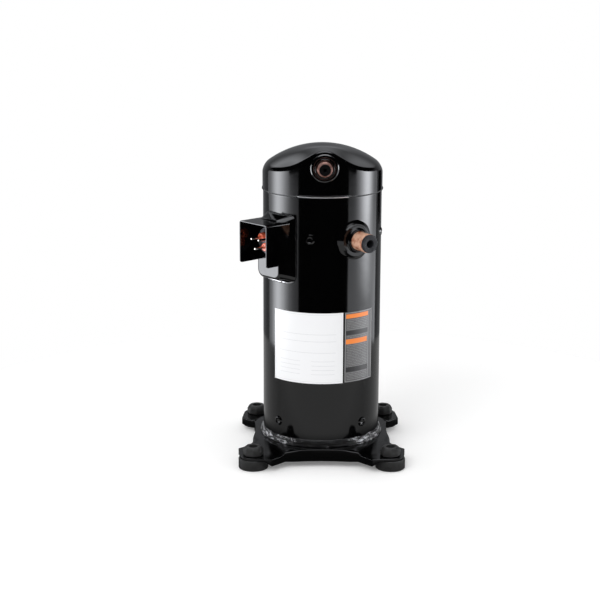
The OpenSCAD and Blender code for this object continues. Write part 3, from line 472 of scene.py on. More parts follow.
ROUND, UPRIGHT = (1, 1, 30), (14, 14, 0.6)
finishes = {
    "cast_iron": metal("cast iron", (0.1, 0.1, 0.105), (0.2, 0.2, 0.21), 0.45, 600, strength=0.5),
    "machined_iron": metal("turned iron", (0.3, 0.31, 0.32), (0.44, 0.45, 0.46), 0.2, 60, ROUND),
    "pressed_steel": metal("pressed steel", (0.36, 0.37, 0.38), (0.52, 0.53, 0.54), 0.24, 240),
    "ground_steel": metal("ground steel", (0.5, 0.51, 0.52), (0.64, 0.65, 0.66), 0.1, 60, ROUND, 0.06),
    "bearing_bronze": metal("bronze", (0.5, 0.36, 0.18), (0.68, 0.52, 0.29), 0.22, 60, ROUND),
    "valve_brass": metal("brass", (0.62, 0.46, 0.2), (0.76, 0.6, 0.32), 0.18, 60, ROUND),
    "seal_composite": metal("seal composite", (0.05, 0.055, 0.06), (0.09, 0.095, 0.1), 0.4, 500,
                            metallic=0.0),
    "lamination": metal("laminations", (0.16, 0.17, 0.18), (0.34, 0.35, 0.36), 0.3, 34, (1, 1, 60), 0.6),
    "cast_aluminium": metal("die-cast aluminium", (0.56, 0.57, 0.58), (0.72, 0.73, 0.74), 0.3, 300),
    "magnet_wire": metal("varnished wire", (0.3, 0.07, 0.025), (0.62, 0.22, 0.08), 0.16, 90,
                         UPRIGHT, 0.9, 0.6),
    "magnet_ferrite": metal("ferrite", (0.07, 0.07, 0.075), (0.12, 0.12, 0.125), 0.4, 700,
                            metallic=0.2),
    "block_plastic": metal("moulded plastic", (0.04, 0.05, 0.055), (0.07, 0.08, 0.085), 0.35, 700,
                           metallic=0.0),
    "black_paint": black,
    "weld": weld_with_painted_side_highlight,
    "grommet_rubber": grommet_rubber,
    "plug_rubber": plug_rubber,
    "copper": suction_copper,
    "terminal_steel": header_steel.material,
    "insulator": insulator_red.material,
    "pin_steel": nickel.material,
    "paper_white": white_film.material,
    "paper_grey": grey_film.material,
}
for part in record["subparts"]:
    mesh = nodes[part["node"]].data
    mesh.materials.clear()
    mesh.materials.append(finishes[part["material_slot"]])
nodes["discharge_stub"].data.materials[0] = discharge_copper
print("finished", len(record["subparts"]), "CAD nodes with", len(finishes), "materials")

# %% [markdown]
# ## Rim of the partition plate
#
# The plate is clamped between cap and can, so its rim shows as part of the seam and is painted there.

# %% Partition plate, bare inside and painted outside
rim = Recipe("partition plate")
x, y = (rim.node("ShaderNodeSeparateXYZ", None, [rim.place], out=i) for i in range(2))
outside = (x * x + y * y) ** 0.5 > (shell_r - 0.5) * MM
pressed = rim.grain(240, 5)
rim.set("Base_Color", rim.mix(outside, rim.mix(pressed, (0.36, 0.37, 0.38), (0.52, 0.53, 0.54)), INK))
rim.set("Metallic", 1 - outside)
rim.set("Roughness", 0.26 + 0.2 * pressed - 0.2 * outside)
nodes["partition_plate"].data.materials[0] = rim.material
print("partition plate painted outside", shell_r - 0.5, "mm")

# %% [markdown]
# ## Ways of working
#
# Most pieces are turned parts, so one helper turns a profile: it adds a circle and then extrudes and
# scales it from point to point, as a potter raises a wall. Each finished piece is moved to its place,
# the place is applied to its mesh, it gets its material, it is told which body it rides on, and the CAD
# nodes it stands for are hidden. On sheet-metal pieces the wide faces then take over the
# normals of the small bevels beside them, so that a flat face mirrors like a flat face.


# %% Selecting and finishing
def clear():
    if bpy.context.object and bpy.context.object.mode != "OBJECT":
        bpy.ops.object.mode_set(mode="OBJECT")
    bpy.ops.object.select_all(action="DESELECT")


def only(piece):
    clear()
    piece.select_set(True)
    bpy.context.view_layer.objects.active = piece


def finish_piece(piece, name, body, material, replaced=(), place=None, angle=40, flat=False):
    only(piece)
    piece.name = piece.data.name = name
    if place is not None:
        piece.matrix_world = place @ piece.matrix_world
    bpy.ops.object.transform_apply(location=True, rotation=True, scale=True)
    bpy.ops.object.shade_smooth_by_angle(angle=math.radians(angle))
    if flat:
        normals = piece.modifiers.new("normals", "WEIGHTED_NORMAL")
        normals.keep_sharp, normals.weight = True, 100
        bpy.ops.object.modifier_apply(modifier=normals.name)
    piece.data.materials.clear()
    piece.data.materials.append(material)
    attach(piece, body)
    if replaced:
        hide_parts(*replaced)
    print(name, "-", len(piece.data.polygons), "faces")
    return piece


def join(pieces):
    clear()
    for piece in pieces:
        piece.select_set(True)
    bpy.context.view_layer.objects.active = pieces[0]
    bpy.ops.object.join()
    return bpy.context.object

# %% [markdown]
# ## Studio
#
# Glossy black is drawn by what it mirrors. The can stands on a pale round table in a dark room, with
# a tall softbox on each side, two dimmer ones high behind it and one overhead. A black card in front
# of the can, seen by glossy rays only, darkens what the fence mirrors. The world holds that room for
# glossy rays only: matt surfaces get an even white light, at which a colour looks as it is written,
# and the camera sees plain white.

# %% Camera
lens = bpy.data.cameras.new("camera")
lens.lens, lens.sensor_width = 89.62, 36
camera = bpy.data.objects.new("camera", lens)
camera.location = (-0.0368, -2.0654, 0.7159)
camera.rotation_euler = [math.radians(angle) for angle in (76.4083, -0.1725, -0.1246)]
bpy.context.scene.collection.objects.link(camera)
bpy.context.scene.camera = camera
bpy.context.scene.view_settings.view_transform = "Standard"
print("camera looks from", camera.location[:])

# %% Room seen by glossy rays
world = bpy.data.worlds.new("studio")
bpy.context.scene.world = world
world.use_nodes = True
room = world.node_tree
ray = add_node(room, "ShaderNodeTexCoord")
wx, wy, wz = (add_node(room, "ShaderNodeSeparateXYZ", None, [ray], out=i) for i in range(3))
level = (wx * wx + wy * wy + 1e-6) ** 0.5
from_front = (wy / level * -0.9999).math("ARCCOSINE", wy / level * -0.9999) * (180 / math.pi)

SIDE_BOX, SIDE_SPREAD = 94, 17
right = wx > 0
side_edge = 47.5 + 3 * right
side_top = 0.00025 * (from_front - 50) - 0.154 + 0.26 * ((from_front - 66) / 18).clamp()
low = right * ((-0.17 - wz) * 20).clamp()
inner = from_front < SIDE_BOX
spread = SIDE_SPREAD - 1.5 - 2 * right + inner * (5.5 - 1.5 * right)
off_middle = (from_front - SIDE_BOX) / spread
softbox = (8.8 + 2.6 * right) * off_middle.math("EXPONENT", off_middle * off_middle * -1)
softbox = softbox * (1 - right * (1 - (0.24 + (wz + 0.223) * 14.5).clamp()))
softbox = (softbox + (0.75 + 1.1 * low) * (from_front < 128)) * (from_front > side_edge) * (wz < side_top)
print("softboxes at", SIDE_BOX, "degrees on either side")

# %% Lights behind and above the can
glow = wy.clamp() * 0.25 * (1 - right * (from_front > 134) * (from_front < 152) * (wz < 0) * (wz > -0.184))
back_box = ((from_front - 133) / 2).clamp() * ((165 - from_front) / 18).clamp()
back_box = back_box * ((wz - 0.33) * 5).clamp() * ((0.66 - wz) * 20).clamp() * (1.6 - 0.7 * right)
dark_gap = (wz > 0.3) * (from_front < 133)
overhead = ((wz - 0.8) * 12).clamp() * 3.2
studio = softbox + back_box + glow * (1 - dark_gap) + overhead + 0.001
print("back boxes and an overhead box added")

# %% What each kind of ray sees
paths = {name: add_node(room, "ShaderNodeLightPath", out=i)
         for i, name in ((0, "camera"), (3, "glossy"), (6, "transmission"))}
mirrored = paths["glossy"].math("MAXIMUM", paths["glossy"], paths["transmission"])
EVEN_LIGHT = 0.86
strength = paths["camera"] + (1 - paths["camera"]) * (mirrored * studio + (1 - mirrored) * EVEN_LIGHT)
background = room.nodes["Background"]
cool = add_node(room, "ShaderNodeMix", {"data_type": "RGBA"},
                {0: mirrored, 6: (1, 1, 1), 7: (0.965, 0.985, 1.03)}, out=2)
room.links.new(cool.socket, background.inputs["Color"])
room.links.new(strength.socket, background.inputs["Strength"])
print("the world is white for the camera")

# %% A soft key light that only matt surfaces catch
key_data = bpy.data.lights.new("key", "AREA")
key_data.shape, key_data.size, key_data.energy = "DISK", 1.6, 26
key = bpy.data.objects.new("key", key_data)
key.location = (-1.2, -1.9, 2.1)
key.rotation_euler = (Vector((0, 0, 0.2)) - key.location).to_track_quat("-Z", "Y").to_euler()
key.visible_glossy = key.visible_camera = False
bpy.context.scene.collection.objects.link(key)
print("key light", key_data.energy, "W")

# %% Table
TABLE_R = 0.66
bpy.ops.mesh.primitive_circle_add(vertices=96, radius=TABLE_R, fill_type="NGON", location=(0, 0, -0.0004))
table = bpy.context.object
table.name = "table"
bpy.ops.object.transform_apply(location=True)
paper = Recipe("pale table", Roughness=0.9)
seen = paper.node("ShaderNodeLightPath")
mirrored_table = paper.node("ShaderNodeLightPath", out=3)
x, y = (paper.node("ShaderNodeSeparateXYZ", None, [paper.place], out=i) for i in range(2))
away = (x * x + y * y) ** 0.5
# For glossy rays the table is black and glows instead, brighter towards the front and dark in a disc round
# the can: a painted glow with a painted shadow.
table_glow_with_painted_shadow = 0.03 + ((away - 0.165) * 22).clamp() * (0.4 + 0.32 * ((-0.05 - y) * 6).clamp())
paper.set("Base_Color", paper.mix(mirrored_table, (0.93, 0.93, 0.93), (0, 0, 0)))
paper.set("Emission_Color", paper.mix(mirrored_table, paper.mix(seen, (0, 0, 0), (0.16, 0.16, 0.16)),
                                      paper.mix(table_glow_with_painted_shadow, (0, 0, 0), (1, 1, 1))))
paper.set("Emission_Strength", 1.0)
table.data.materials.append(paper.material)
print("table", table.dimensions[:])

# %% A flag that shades the fence
clear()
bpy.ops.mesh.primitive_plane_add(size=1)
flag = bpy.context.object
flag.name = "flag"
FLAG_X = 0.04
corners = ((-0.127, 0.2), (-0.085, 0.2), (-0.127, 0.36), (-0.085, 0.303))
for vertex, (y, z) in zip(flag.data.vertices, corners):
    vertex.co = (FLAG_X, y, z)
flag.data.update()
only(flag)
bpy.ops.object.mode_set(mode="EDIT")
bpy.ops.mesh.select_all(action="SELECT")
if flag.data.polygons[0].normal.x > 0:
    bpy.ops.mesh.flip_normals()
bpy.ops.object.mode_set(mode="OBJECT")
card = Recipe("black card", Base_Color=(0, 0, 0), Roughness=1.0, Specular_IOR_Level=0.0)
behind = card.node("ShaderNodeNewGeometry", out=6)
card.set("Alpha", 1 - behind)
flag.data.materials.append(card.material)
flag.visible_camera = flag.visible_diffuse = flag.visible_shadow = flag.visible_transmission = False
print("flag faces", flag.data.polygons[0].normal[:])

# %% Turning a profile
def turn(profile, sides=96):
    """Raise a wall through points (radius, height) in millimetres; a radius of 0 closes it."""
    clear()
    radius, height = profile[0]
    bpy.ops.mesh.primitive_circle_add(vertices=sides, radius=radius * MM, fill_type="NOTHING",
                                      location=(0, 0, height * MM))
    bpy.ops.object.transform_apply(location=True)
    bpy.ops.object.mode_set(mode="EDIT")
    bpy.ops.mesh.select_all(action="SELECT")
    for wide, high in profile[1:]:
        step = {"value": (0, 0, (high - height) * MM)}
        bpy.ops.mesh.extrude_region_move(TRANSFORM_OT_translate=step)
        if wide == 0:
            bpy.ops.mesh.merge(type="CENTER")
            break
        bpy.ops.transform.resize(value=(wide / radius, wide / radius, 1),
                                 center_override=(0, 0, high * MM))
        radius, height = wide, high
    bpy.ops.mesh.select_all(action="SELECT")
    bpy.ops.mesh.remove_doubles(threshold=0.001 * MM)
    bpy.ops.mesh.normals_make_consistent(inside=False)
    bpy.ops.object.mode_set(mode="OBJECT")
    return bpy.context.object


def arc(centre, radius, start, end, steps=6):
    """Points of an arc in a profile, with angles from the radial direction."""
    for k in range(steps + 1):
        angle = math.radians(start + (end - start) * k / steps)
        yield centre[0] + radius * math.cos(angle), centre[1] + radius * math.sin(angle)


def copy_at(piece, place):
    twin = piece.copy()
    twin.data = piece.data.copy()
    twin.data.transform(place)
    bpy.context.scene.collection.objects.link(twin)
    return twin


print("turn, arc and copy_at ready")

# %% [markdown]
# ## Cap
#
# The cap is a deep-drawn dome with a soft shoulder. At the front the press also raises a hood, so
# that the discharge stub can leave level: an arch that runs back into the crown. A lathe gives the
# dome, and the hood could be pulled up with proportional editing, but its edge has to meet the ring
# of the stub exactly. So the dome is turned first, and then each of its points is moved to the height
# that the hood's formula gives for its place.

# %% Shape of the dome
CROWN_R, HOOD_W, HOOD_RUN, SHOULDER, HOOD_SHOULDER = 130, 36, 45, 3.4, 4
hood_az = azimuth(DISCHARGE)


def ease(t):
    t = min(max(t, 0), 1)
    return t * t * (3 - 2 * t)


def hood(radius, angle):
    across, front = radius * math.sin(angle), radius * math.cos(angle)
    return math.exp(-(across / HOOD_W) ** 2) * ease(front / HOOD_RUN)


def dome(radius, angle):
    crown = apex_z - CROWN_R + math.sqrt(CROWN_R ** 2 - radius ** 2)
    return crown + (apex_z - crown) * hood(radius, angle)


print("dome at its edge", round(dome(cap_r, math.pi), 1), "hood", round(dome(cap_r, 0), 1), "mm")

# %% Turn the dome and raise the hood
rings = [("crown", (k / 44) ** 0.9) for k in range(1, 45)] + [("shoulder", 90 * k / 14) for k in range(1, 15)]
rings += [("skirt", k / 5) for k in range(1, 6)]


def ring_place(kind, t, angle):
    corner = SHOULDER + 5.6 * abs(math.sin(angle)) ** 12 + (HOOD_SHOULDER - SHOULDER) * hood(cap_r, angle)
    if kind == "crown":
        radius = (cap_r - corner) * t
        return radius, dome(radius, angle)
    tilt = math.radians(t) if kind == "shoulder" else math.pi / 2
    radius = cap_r - corner + corner * math.sin(tilt)
    height = dome(radius, angle) - corner * (1 - math.cos(tilt))
    if kind == "skirt":
        height += (top_seam_z - height) * t
    return radius, height


base = [ring_place(kind, t, math.pi) for kind, t in rings]
cap = turn(list(reversed(base)) + [(0, apex_z)], sides=216)
for vertex in cap.data.vertices:
    x, y, z = vertex.co / MM
    radius, angle = math.hypot(x, y), math.atan2(x, -y)
    if radius > 0.01:
        nearest = min(range(len(base)), key=lambda k: abs(base[k][0] - radius) + abs(base[k][1] - z))
        radius, height = ring_place(*rings[nearest], angle)
        angle += hood_az
        vertex.co = Vector((radius * math.sin(angle), -radius * math.cos(angle), height)) * MM
only(cap)
solid = cap.modifiers.new("wall", "SOLIDIFY")
solid.thickness, solid.offset = 3.2 * MM, -1
bpy.ops.object.modifier_apply(modifier=solid.name)
finish_piece(cap, "cap", "housing", black, ["top_cap"], angle=60)

# %% [markdown]
# ## Weld beads round the can
#
# The cap is welded on with a narrow bead that was painted over, and the base with a wide one that
# stayed half bare. A bead laid by a robot is a row of overlapping ripples, with a lump here and there.
# Each bead is a turned ring whose points are then pushed in and out: a saw tooth along the seam makes
# the ripples, and noise the lumps.


# %% Bead with ripples
def ripple(piece, centre, pitch, depth, lump, where=lambda angle: 1):
    centre_r, centre_z = centre
    for vertex in piece.data.vertices:
        x, y, z = vertex.co / MM
        angle, radius = math.atan2(x, -y), math.hypot(x, y)
        out, up = radius - centre_r, z - centre_z
        phase = angle * centre_r / pitch + 0.12 * up
        lumps = noise.noise(Vector((x, y, z * 2)) * 0.09) + 0.5 * noise.noise(Vector((x, y, z)) * 0.31)
        scale = 1 + depth * ((phase % 1) - 0.5) + lump * lumps
        out = out * scale * where(angle)
        radius, z = centre_r + out, centre_z + up * (scale * 0.5 + 0.5)
        vertex.co = Vector((radius * math.sin(angle), -radius * math.cos(angle), z)) * MM


def seam_height(angle):
    turned = abs(math.degrees(angle))
    return 0.47 + 0.45 * ease((28 - turned) / 6) + 0.45 * ease((turned - 72) / 10)


upper = turn(list(arc((shell_r - 0.3, top_seam_z), 2.1, 80, -80, 8)), sides=360)
ripple(upper, (shell_r - 0.3, top_seam_z), 7.2, 0.08, 0.12, seam_height)
finish_piece(upper, "cap_bead", "housing", seam_with_painted_glint, ["upper_weld"], angle=60)

# %% Wide bead on the base
bead_low, bead_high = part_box("lower_weld")
z0, z1, out = bead_low.z / MM, bead_high.z / MM, bead_high.x / MM
profile = [(shell_r - 0.4, z1 - 0.6), (shell_r + 1.1, z1 - 1.9), (shell_r + 1.9, z0 + 7),
           (out - 1.9, z0 + 5.6), (out - 1.5, z0 + 4.4), (out - 1.9, z0 + 3.4),
           (out - 0.9, z0 + 2.2), (out - 0.5, z0 + 1.1),
           (out - 0.8, z0 - 0.3)]
lower = turn(profile, sides=540)
ripple(lower, (shell_r, z0 + 4), 2.7, 0.16, 0.24)
only(lower)
smoother = lower.modifiers.new("smooth", "SUBSURF")
smoother.levels = smoother.render_levels = 1
bpy.ops.object.modifier_apply(modifier=smoother.name)
finish_piece(lower, "base_bead", "housing", weld_with_painted_side_highlight, ["lower_weld"], angle=80)

# %% [markdown]
# ## Plug welds
#
# Inside the can a bearing housing and a bracket are held by plug welds: a hole in the wall is filled
# with weld metal, which leaves a low round button with a dimple. There are eight alike, so one is
# turned and copied to its places on two rings.

# %% One button, eight places
lip = shell_r + 1.1
button = turn([(7.8, shell_r - 1.2), (7.1, shell_r - 0.2), (6.7, shell_r + 0.1), (4.9, lip + 0.3)]
              + list(arc((4.6, lip + 0.05), 0.35, 50, 130, 3))
              + [(4.2, lip), (3.2, lip - 0.8), (2.2, lip - 1.0), (1.2, lip - 1.0), (0, lip - 1.0)], 48)
plug_low, plug_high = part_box("weld_plugs")
upper_z, lower_z = plug_high.z / MM - 5.5, plug_low.z / MM + 5.5
buttons = []
for start, height in ((-12.3, upper_z), (-47, lower_z)):
    for k in range(4):
        place = (Matrix.Rotation(math.radians(start + 90 * k), 4, "Z")
                 @ Matrix.Translation((0, 0, height * MM)) @ Matrix.Rotation(math.pi / 2, 4, "X"))
        buttons.append(copy_at(button, place))
bpy.data.objects.remove(button)
plugs = join(buttons)
for vertex in plugs.data.vertices:
    vertex.co += Vector(vertex.normal) * 0.25 * MM * noise.noise(Vector(vertex.co) * 300)
finish_piece(plugs, "plug_welds", "housing", thick_black, ["weld_plugs"], angle=60)

# %% [markdown]
# ## Suction boss
#
# Where the suction tube enters, the can's wall is pressed out into a flat round face, because a round
# tube seals badly on a curved wall. The face runs back into the cylinder through a soft valley. The
# piece starts as a turned disc whose points are set on a surface that is flat in the middle and
# follows the can outside.

# %% Formed face
face_r, foot_r = 20, 27.5
face_z = shell_r + 3.83


def boss_height(x, y):
    can = math.sqrt((shell_r + 0.02) ** 2 - x * x)
    return can + (face_z - can) * (1 - ease((math.hypot(x, y) - face_r) / (foot_r - face_r)))


boss = turn([(foot_r - 0.6 * k, 80) for k in range(30)], sides=120)
for vertex in boss.data.vertices:
    x, y = vertex.co.x / MM, vertex.co.y / MM
    vertex.co.z = boss_height(x, y) * MM
only(boss)
finish_piece(boss, "suction_boss", "housing", black, place=facing(SUCTION), angle=60)

# %% [markdown]
# ## Stubs, collar and plugs
#
# Both stubs are copper tubes. The discharge one stands in a thick steel ring that is welded into the
# hood and painted; the suction one is brazed into a short collar. A rubber plug with a hole for the
# puller closes each stub until the compressor is piped in. All of them are turned, each in the local
# frame of its mount.

# %% Ring and neck in the hood
ring_low, ring_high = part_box("discharge_fitting")
ring_r = (ring_high.z - ring_low.z) / MM / 2
tube_r = mounts[DISCHARGE]["dims"]["r_mm"]
rim = 3.1
fitting = turn(
    [(ring_r - 0.4, cap_r - 14), (ring_r - 0.1, cap_r - 2.5)]
    + list(arc((ring_r - rim, cap_r + 0.1), rim, 0, 150, 12))
    + [(ring_r - 2 * rim, cap_r + 0.2), (tube_r + 3.4, cap_r + 0.4)]
    + list(arc((tube_r + 2.6, cap_r + 2.2), 1.2, 0, 120, 5))
    + [(tube_r + 0.6, cap_r + 2.6), (tube_r - 0.3, cap_r + 1)],
    128)
finish_piece(fitting, "discharge_ring", "housing", ring_black, ["discharge_fitting"],
             facing(DISCHARGE))


# %% Copper tubes
def tube_piece(name, mount, node, bore, root, copper_kind):
    reach = mounts[mount]["dims"]["length_mm"] / 2 + Vector(mounts[mount]["pos_m"][:2]).length / MM
    outer = mounts[mount]["dims"]["r_mm"]
    piece = turn(
        [(outer, root), (outer, (root + reach) / 2), (outer, reach - 0.5)]
        + list(arc((outer - 0.5, reach - 0.5), 0.5, 20, 90, 4))
        + list(arc((bore + 0.5, reach - 0.5), 0.5, 90, 180, 4)) + [(bore, root), (outer, root)], 96)
    finish_piece(piece, name, "housing", copper_kind, [node], facing(mount))
    return reach


discharge_end = tube_piece("discharge_tube", DISCHARGE, "discharge_stub", 6.4, cap_r - 6, discharge_copper)
suction_end = tube_piece("suction_tube", SUCTION, "suction_stub", 11.15, shell_r - 3, suction_copper)
print("stubs end at", round(discharge_end, 1), round(suction_end, 1))

# %% Collar of the suction stub
suction_r = mounts[SUCTION]["dims"]["r_mm"]
collar_r = size_of("suction_collar").z / 2 - 1.5
collar_end = suction_end - mounts[SUCTION]["dims"]["length_mm"] - 0.2
collar = turn(
    [(collar_r + 2.4, face_z - 0.4), (collar_r + 2, face_z + 0.25), (collar_r + 0.9, face_z + 0.8),
     (collar_r + 0.3, face_z + 1.6), (collar_r, face_z + 2.4)]
    + list(arc((collar_r - 1.1, collar_end - 1.1), 1.1, 0, 90, 6))
    + [(suction_r + 0.5, collar_end - 0.3), (suction_r - 0.2, collar_end - 1.2)], 96)
finish_piece(collar, "suction_collar_ring", "housing", black, ["suction_collar"],
             facing(SUCTION))


# %% Rubber plugs
def plug_piece(name, mount, node, rubber_kind, bore, flange, hole, end, depth):
    top = end + 0.1 + 3
    piece = turn(
        [(bore - 1.5, end - depth), (bore - 0.3, end - depth + 1.2), (bore - 0.3, end + 0.1),
         (flange - 0.2, end + 0.12)]
        + list(arc((flange - 0.9, top - 0.9), 0.9, -10, 90, 6))
        + list(arc((hole + 0.5, top - 0.5), 0.5, 90, 180, 4))
        + [(hole, end - 0.6 * depth), (0, end - 0.6 * depth)], 96)
    finish_piece(piece, name, node, rubber_kind, [node], facing(mount))


plug_piece("discharge_stopper", DISCHARGE, "discharge_plug", stopper_black, 6.35, 7.7, 2.5, discharge_end, 12)
plug_piece("suction_stopper", SUCTION, "suction_plug", plug_rubber, 11.1, suction_r - 0.25, 5.4,
           suction_end, 16)

# %% [markdown]
# ## Terminal pad
#
# The terminal sits on a box with sloping sides that is pressed from sheet and welded over a hole in
# the can. A box, narrowed towards its face and with round corners, gives it: the four upright edges
# take one large bevel, and the face a small one all round. A bead of weld runs round its foot, black
# where it was sprayed and bare at the bottom, where the gun did not reach.

# %% Drafted box
def pick(piece, test, mode="FACE"):
    """Select the faces, edges or points of a piece whose middle, in millimetres, passes a test."""
    only(piece)
    bpy.ops.object.mode_set(mode="EDIT")
    bpy.ops.mesh.select_mode(type=mode)
    bpy.ops.mesh.select_all(action="DESELECT")
    bpy.ops.object.mode_set(mode="OBJECT")
    mesh = piece.data
    parts = {"FACE": mesh.polygons, "EDGE": mesh.edges, "VERT": mesh.vertices}[mode]
    for part in parts:
        points = [mesh.vertices[k].co for k in part.vertices] if mode != "VERT" else [part.co]
        part.select = test(sum(points, Vector()) / len(points) / MM, [p / MM for p in points])
    bpy.ops.object.mode_set(mode="EDIT")


terminal_z = mounts[TERMINAL]["pos_m"][2] / MM
pad_face, pad_corner, pad_edge = 101.3, 10.5, 3.2
foot, foot_w, face_w = 79.0, 61.7, 45
low_foot, high_foot, low_face, high_face = 256.6, 352.4, 264.0, 345.0
clear()
bpy.ops.mesh.primitive_cube_add(size=1 * MM, location=(0, (low_foot + high_foot) / 2 * MM - terminal_z * MM,
                                                       (foot + pad_face) / 2 * MM))
pad = bpy.context.object
bpy.ops.transform.resize(value=(foot_w, high_foot - low_foot, pad_face - foot))
bpy.ops.object.transform_apply(location=True, scale=True)
pick(pad, lambda middle, points: middle.z > pad_face - 1)
bpy.ops.transform.resize(value=(face_w / foot_w, (high_face - low_face) / (high_foot - low_foot), 1))
pick(pad, lambda middle, points: foot + 5 < middle.z < pad_face - 5, "EDGE")
bpy.ops.mesh.bevel(offset=pad_corner * MM, segments=8, profile=0.5)
pick(pad, lambda middle, points: max(abs(p.z - pad_face) for p in points) < 0.01, "EDGE")
bpy.ops.mesh.bevel(offset=pad_edge * MM, segments=6)
pick(pad, lambda middle, points: max(p.z for p in points) < foot + 0.01)
bpy.ops.mesh.delete(type="FACE")
bpy.ops.object.mode_set(mode="OBJECT")
finish_piece(pad, "terminal_box", "housing", box_black, ["terminal_pad"],
             facing(TERMINAL), 30, True)

# %% Bead round the foot of the box
clear()
bpy.ops.mesh.primitive_circle_add(vertices=240, radius=1 * MM, fill_type="NOTHING")
seam = bpy.context.object
half_w, corner, bead_r = 29.6, 11, 1.9
low, high = 258.4 - terminal_z, 350.6 - terminal_z
for vertex in seam.data.vertices:
    way = math.atan2(vertex.co.y, vertex.co.x)
    middle = (low + high) / 2
    inner_x, inner_y = half_w - corner, (high - low) / 2 - corner
    scale = min(half_w / max(abs(math.cos(way)), 1e-6), (high - low) / 2 / max(abs(math.sin(way)), 1e-6))
    x, y = scale * math.cos(way), scale * math.sin(way)
    if abs(x) > inner_x and abs(y) > inner_y:
        sx, sy = math.copysign(inner_x, x), math.copysign(inner_y, y)
        out = Vector((x - sx, y - sy)).normalized() * corner
        x, y = sx + out.x, sy + out.y
    vertex.co = Vector((x, middle + y, math.sqrt((shell_r + 0.2) ** 2 - x * x))) * MM
only(seam)
bpy.ops.object.convert(target="CURVE")
seam = bpy.context.object
seam.data.bevel_depth, seam.data.bevel_resolution = bead_r * MM, 4
for point in seam.data.splines[0].points:
    x, y, z = point.co[:3]
    point.radius = 1 + 0.3 * noise.noise(Vector((x, y, z)) * 160) + (0.35 if y < (low + 3) * MM else 0)
bpy.ops.object.convert(target="MESH")
seam = bpy.context.object
for vertex in seam.data.vertices:
    spot = Vector(vertex.co)
    vertex.co += Vector(vertex.normal) * 0.5 * MM * (noise.noise(spot * 260) + 0.6 * noise.noise(spot * 700))
finish_piece(seam, "terminal_bead", "housing", foot_bead, place=facing(TERMINAL), angle=80)

# %% [markdown]
# ## Fence
#
# A bent strip of sheet guards the terminal above and on both sides; it is open in front, for the
# plug, and below, for the leads. A box without its front, back and bottom is already that strip. Its
# two upper edges take the bend radius, its lower front corners are clipped round, and then the sheet
# gets its thickness and a small soft edge.

# %% Bent sheet
fence_low, fence_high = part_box("terminal_fence")
fence_w, near, far = 55.5, 86.0, 129.0
low, high = fence_low.z / MM - terminal_z, fence_high.z / MM - terminal_z
clear()
bpy.ops.mesh.primitive_cube_add(size=1 * MM, location=(0, (low + high) / 2 * MM, (near + far) / 2 * MM))
fence = bpy.context.object
bpy.ops.transform.resize(value=(fence_w, high - low, far - near))
bpy.ops.object.transform_apply(location=True, scale=True)
pick(fence, lambda middle, points: middle.z < near + 1 or middle.z > far - 1 or middle.y < low + 1)
bpy.ops.mesh.delete(type="FACE")
bpy.ops.object.mode_set(mode="OBJECT")
pick(fence, lambda middle, points: middle.y > high - 0.1 and abs(middle.x) > fence_w / 2 - 0.1, "EDGE")
bpy.ops.mesh.bevel(offset=3 * MM, segments=6)
bpy.ops.object.mode_set(mode="OBJECT")
pick(fence, lambda middle, points: middle.y < low + 0.1 and middle.z > far - 0.1, "VERT")
bpy.ops.mesh.bevel(offset=4 * MM, segments=6, affect="VERTICES")
bpy.ops.object.mode_set(mode="OBJECT")
only(fence)
sheet = fence.modifiers.new("sheet", "SOLIDIFY")
sheet.thickness, sheet.offset = 1.6 * MM, -1
bpy.ops.object.modifier_apply(modifier=sheet.name)
edge = fence.modifiers.new("edge", "BEVEL")
edge.width, edge.segments, edge.limit_method, edge.angle_limit = 0.4 * MM, 3, "ANGLE", math.radians(50)
bpy.ops.object.modifier_apply(modifier=edge.name)
finish_piece(fence, "fence", "housing", sheet_black, ["terminal_fence"],
             facing(TERMINAL), 30, True)

# %% [markdown]
# ## Terminal
#
# A round steel header is pressed into the box. It carries three pins in glass, and round each pin
# stands a ceramic insulator. Header, insulator and pin are each turned once; the last two are copied
# to the pins' three places on their circle.

# %% Header, insulators and pins
header_r, flange = 19, pad_face + 2
header = turn([(header_r - 0.2, pad_face - 6), (header_r, pad_face - 0.5), (header_r, flange - 0.7)]
              + list(arc((header_r - 0.7, flange - 0.7), 0.7, 0, 90, 4))
              + [(header_r - 3.4, flange), (header_r - 4.2, flange - 0.6), (0, flange - 0.6)], 96)
finish_piece(header, "header", "housing", header_steel.material, ["terminal_body"],
             facing(TERMINAL))

dims = mounts[TERMINAL]["dims"]
pin_r, circle = dims["stud_r_mm"], dims["pcd_mm"] / 2
insulator_end, pin_end = 109.0, 125.5
ceramic = turn([(6.3, flange - 1), (6.3, flange + 1.2), (5.9, flange + 2.6), (5.6, insulator_end - 1.2)]
               + list(arc((4.6, insulator_end - 1), 1, 0, 90, 4))
               + [(pin_r + 0.8, insulator_end - 0.1), (pin_r + 0.1, insulator_end - 0.9),
                  (0, insulator_end - 0.9)], 48)
pin = turn([(pin_r, insulator_end - 2), (pin_r, pin_end - 1.9), (pin_r - 0.25, pin_end - 1.2)]
           + list(arc((pin_r - 1, pin_end - 0.75), 0.75, 0, 90, 4)) + [(0, pin_end)], 32)
spots = [Matrix.Translation((circle * MM * math.cos(math.radians(a)),
                             circle * MM * math.sin(math.radians(a)), 0))
         for a in (30, 150, 270)]
for model, name, slot, material, node in (
        (ceramic, "insulators", "insulator", insulator_red.material, "terminal_insulators"),
        (pin, "pins", "pin_steel", nickel.material, "terminal_pins")):
    trio = join([copy_at(model, spot) for spot in spots])
    bpy.data.objects.remove(model)
    finish_piece(trio, name, "housing", material, [node], facing(TERMINAL))

# %% [markdown]
# ## Base plate
#
# The base is one pressed plate: a high middle, four arms that slope down to the feet, and skirts bent
# down between them. Its CAD mesh has the right shape but razor-sharp edges, and paint always gathers
# on an edge and rounds it. So a copy of the mesh is merged, its coplanar triangles are dissolved, and
# a bevel rounds what is left.

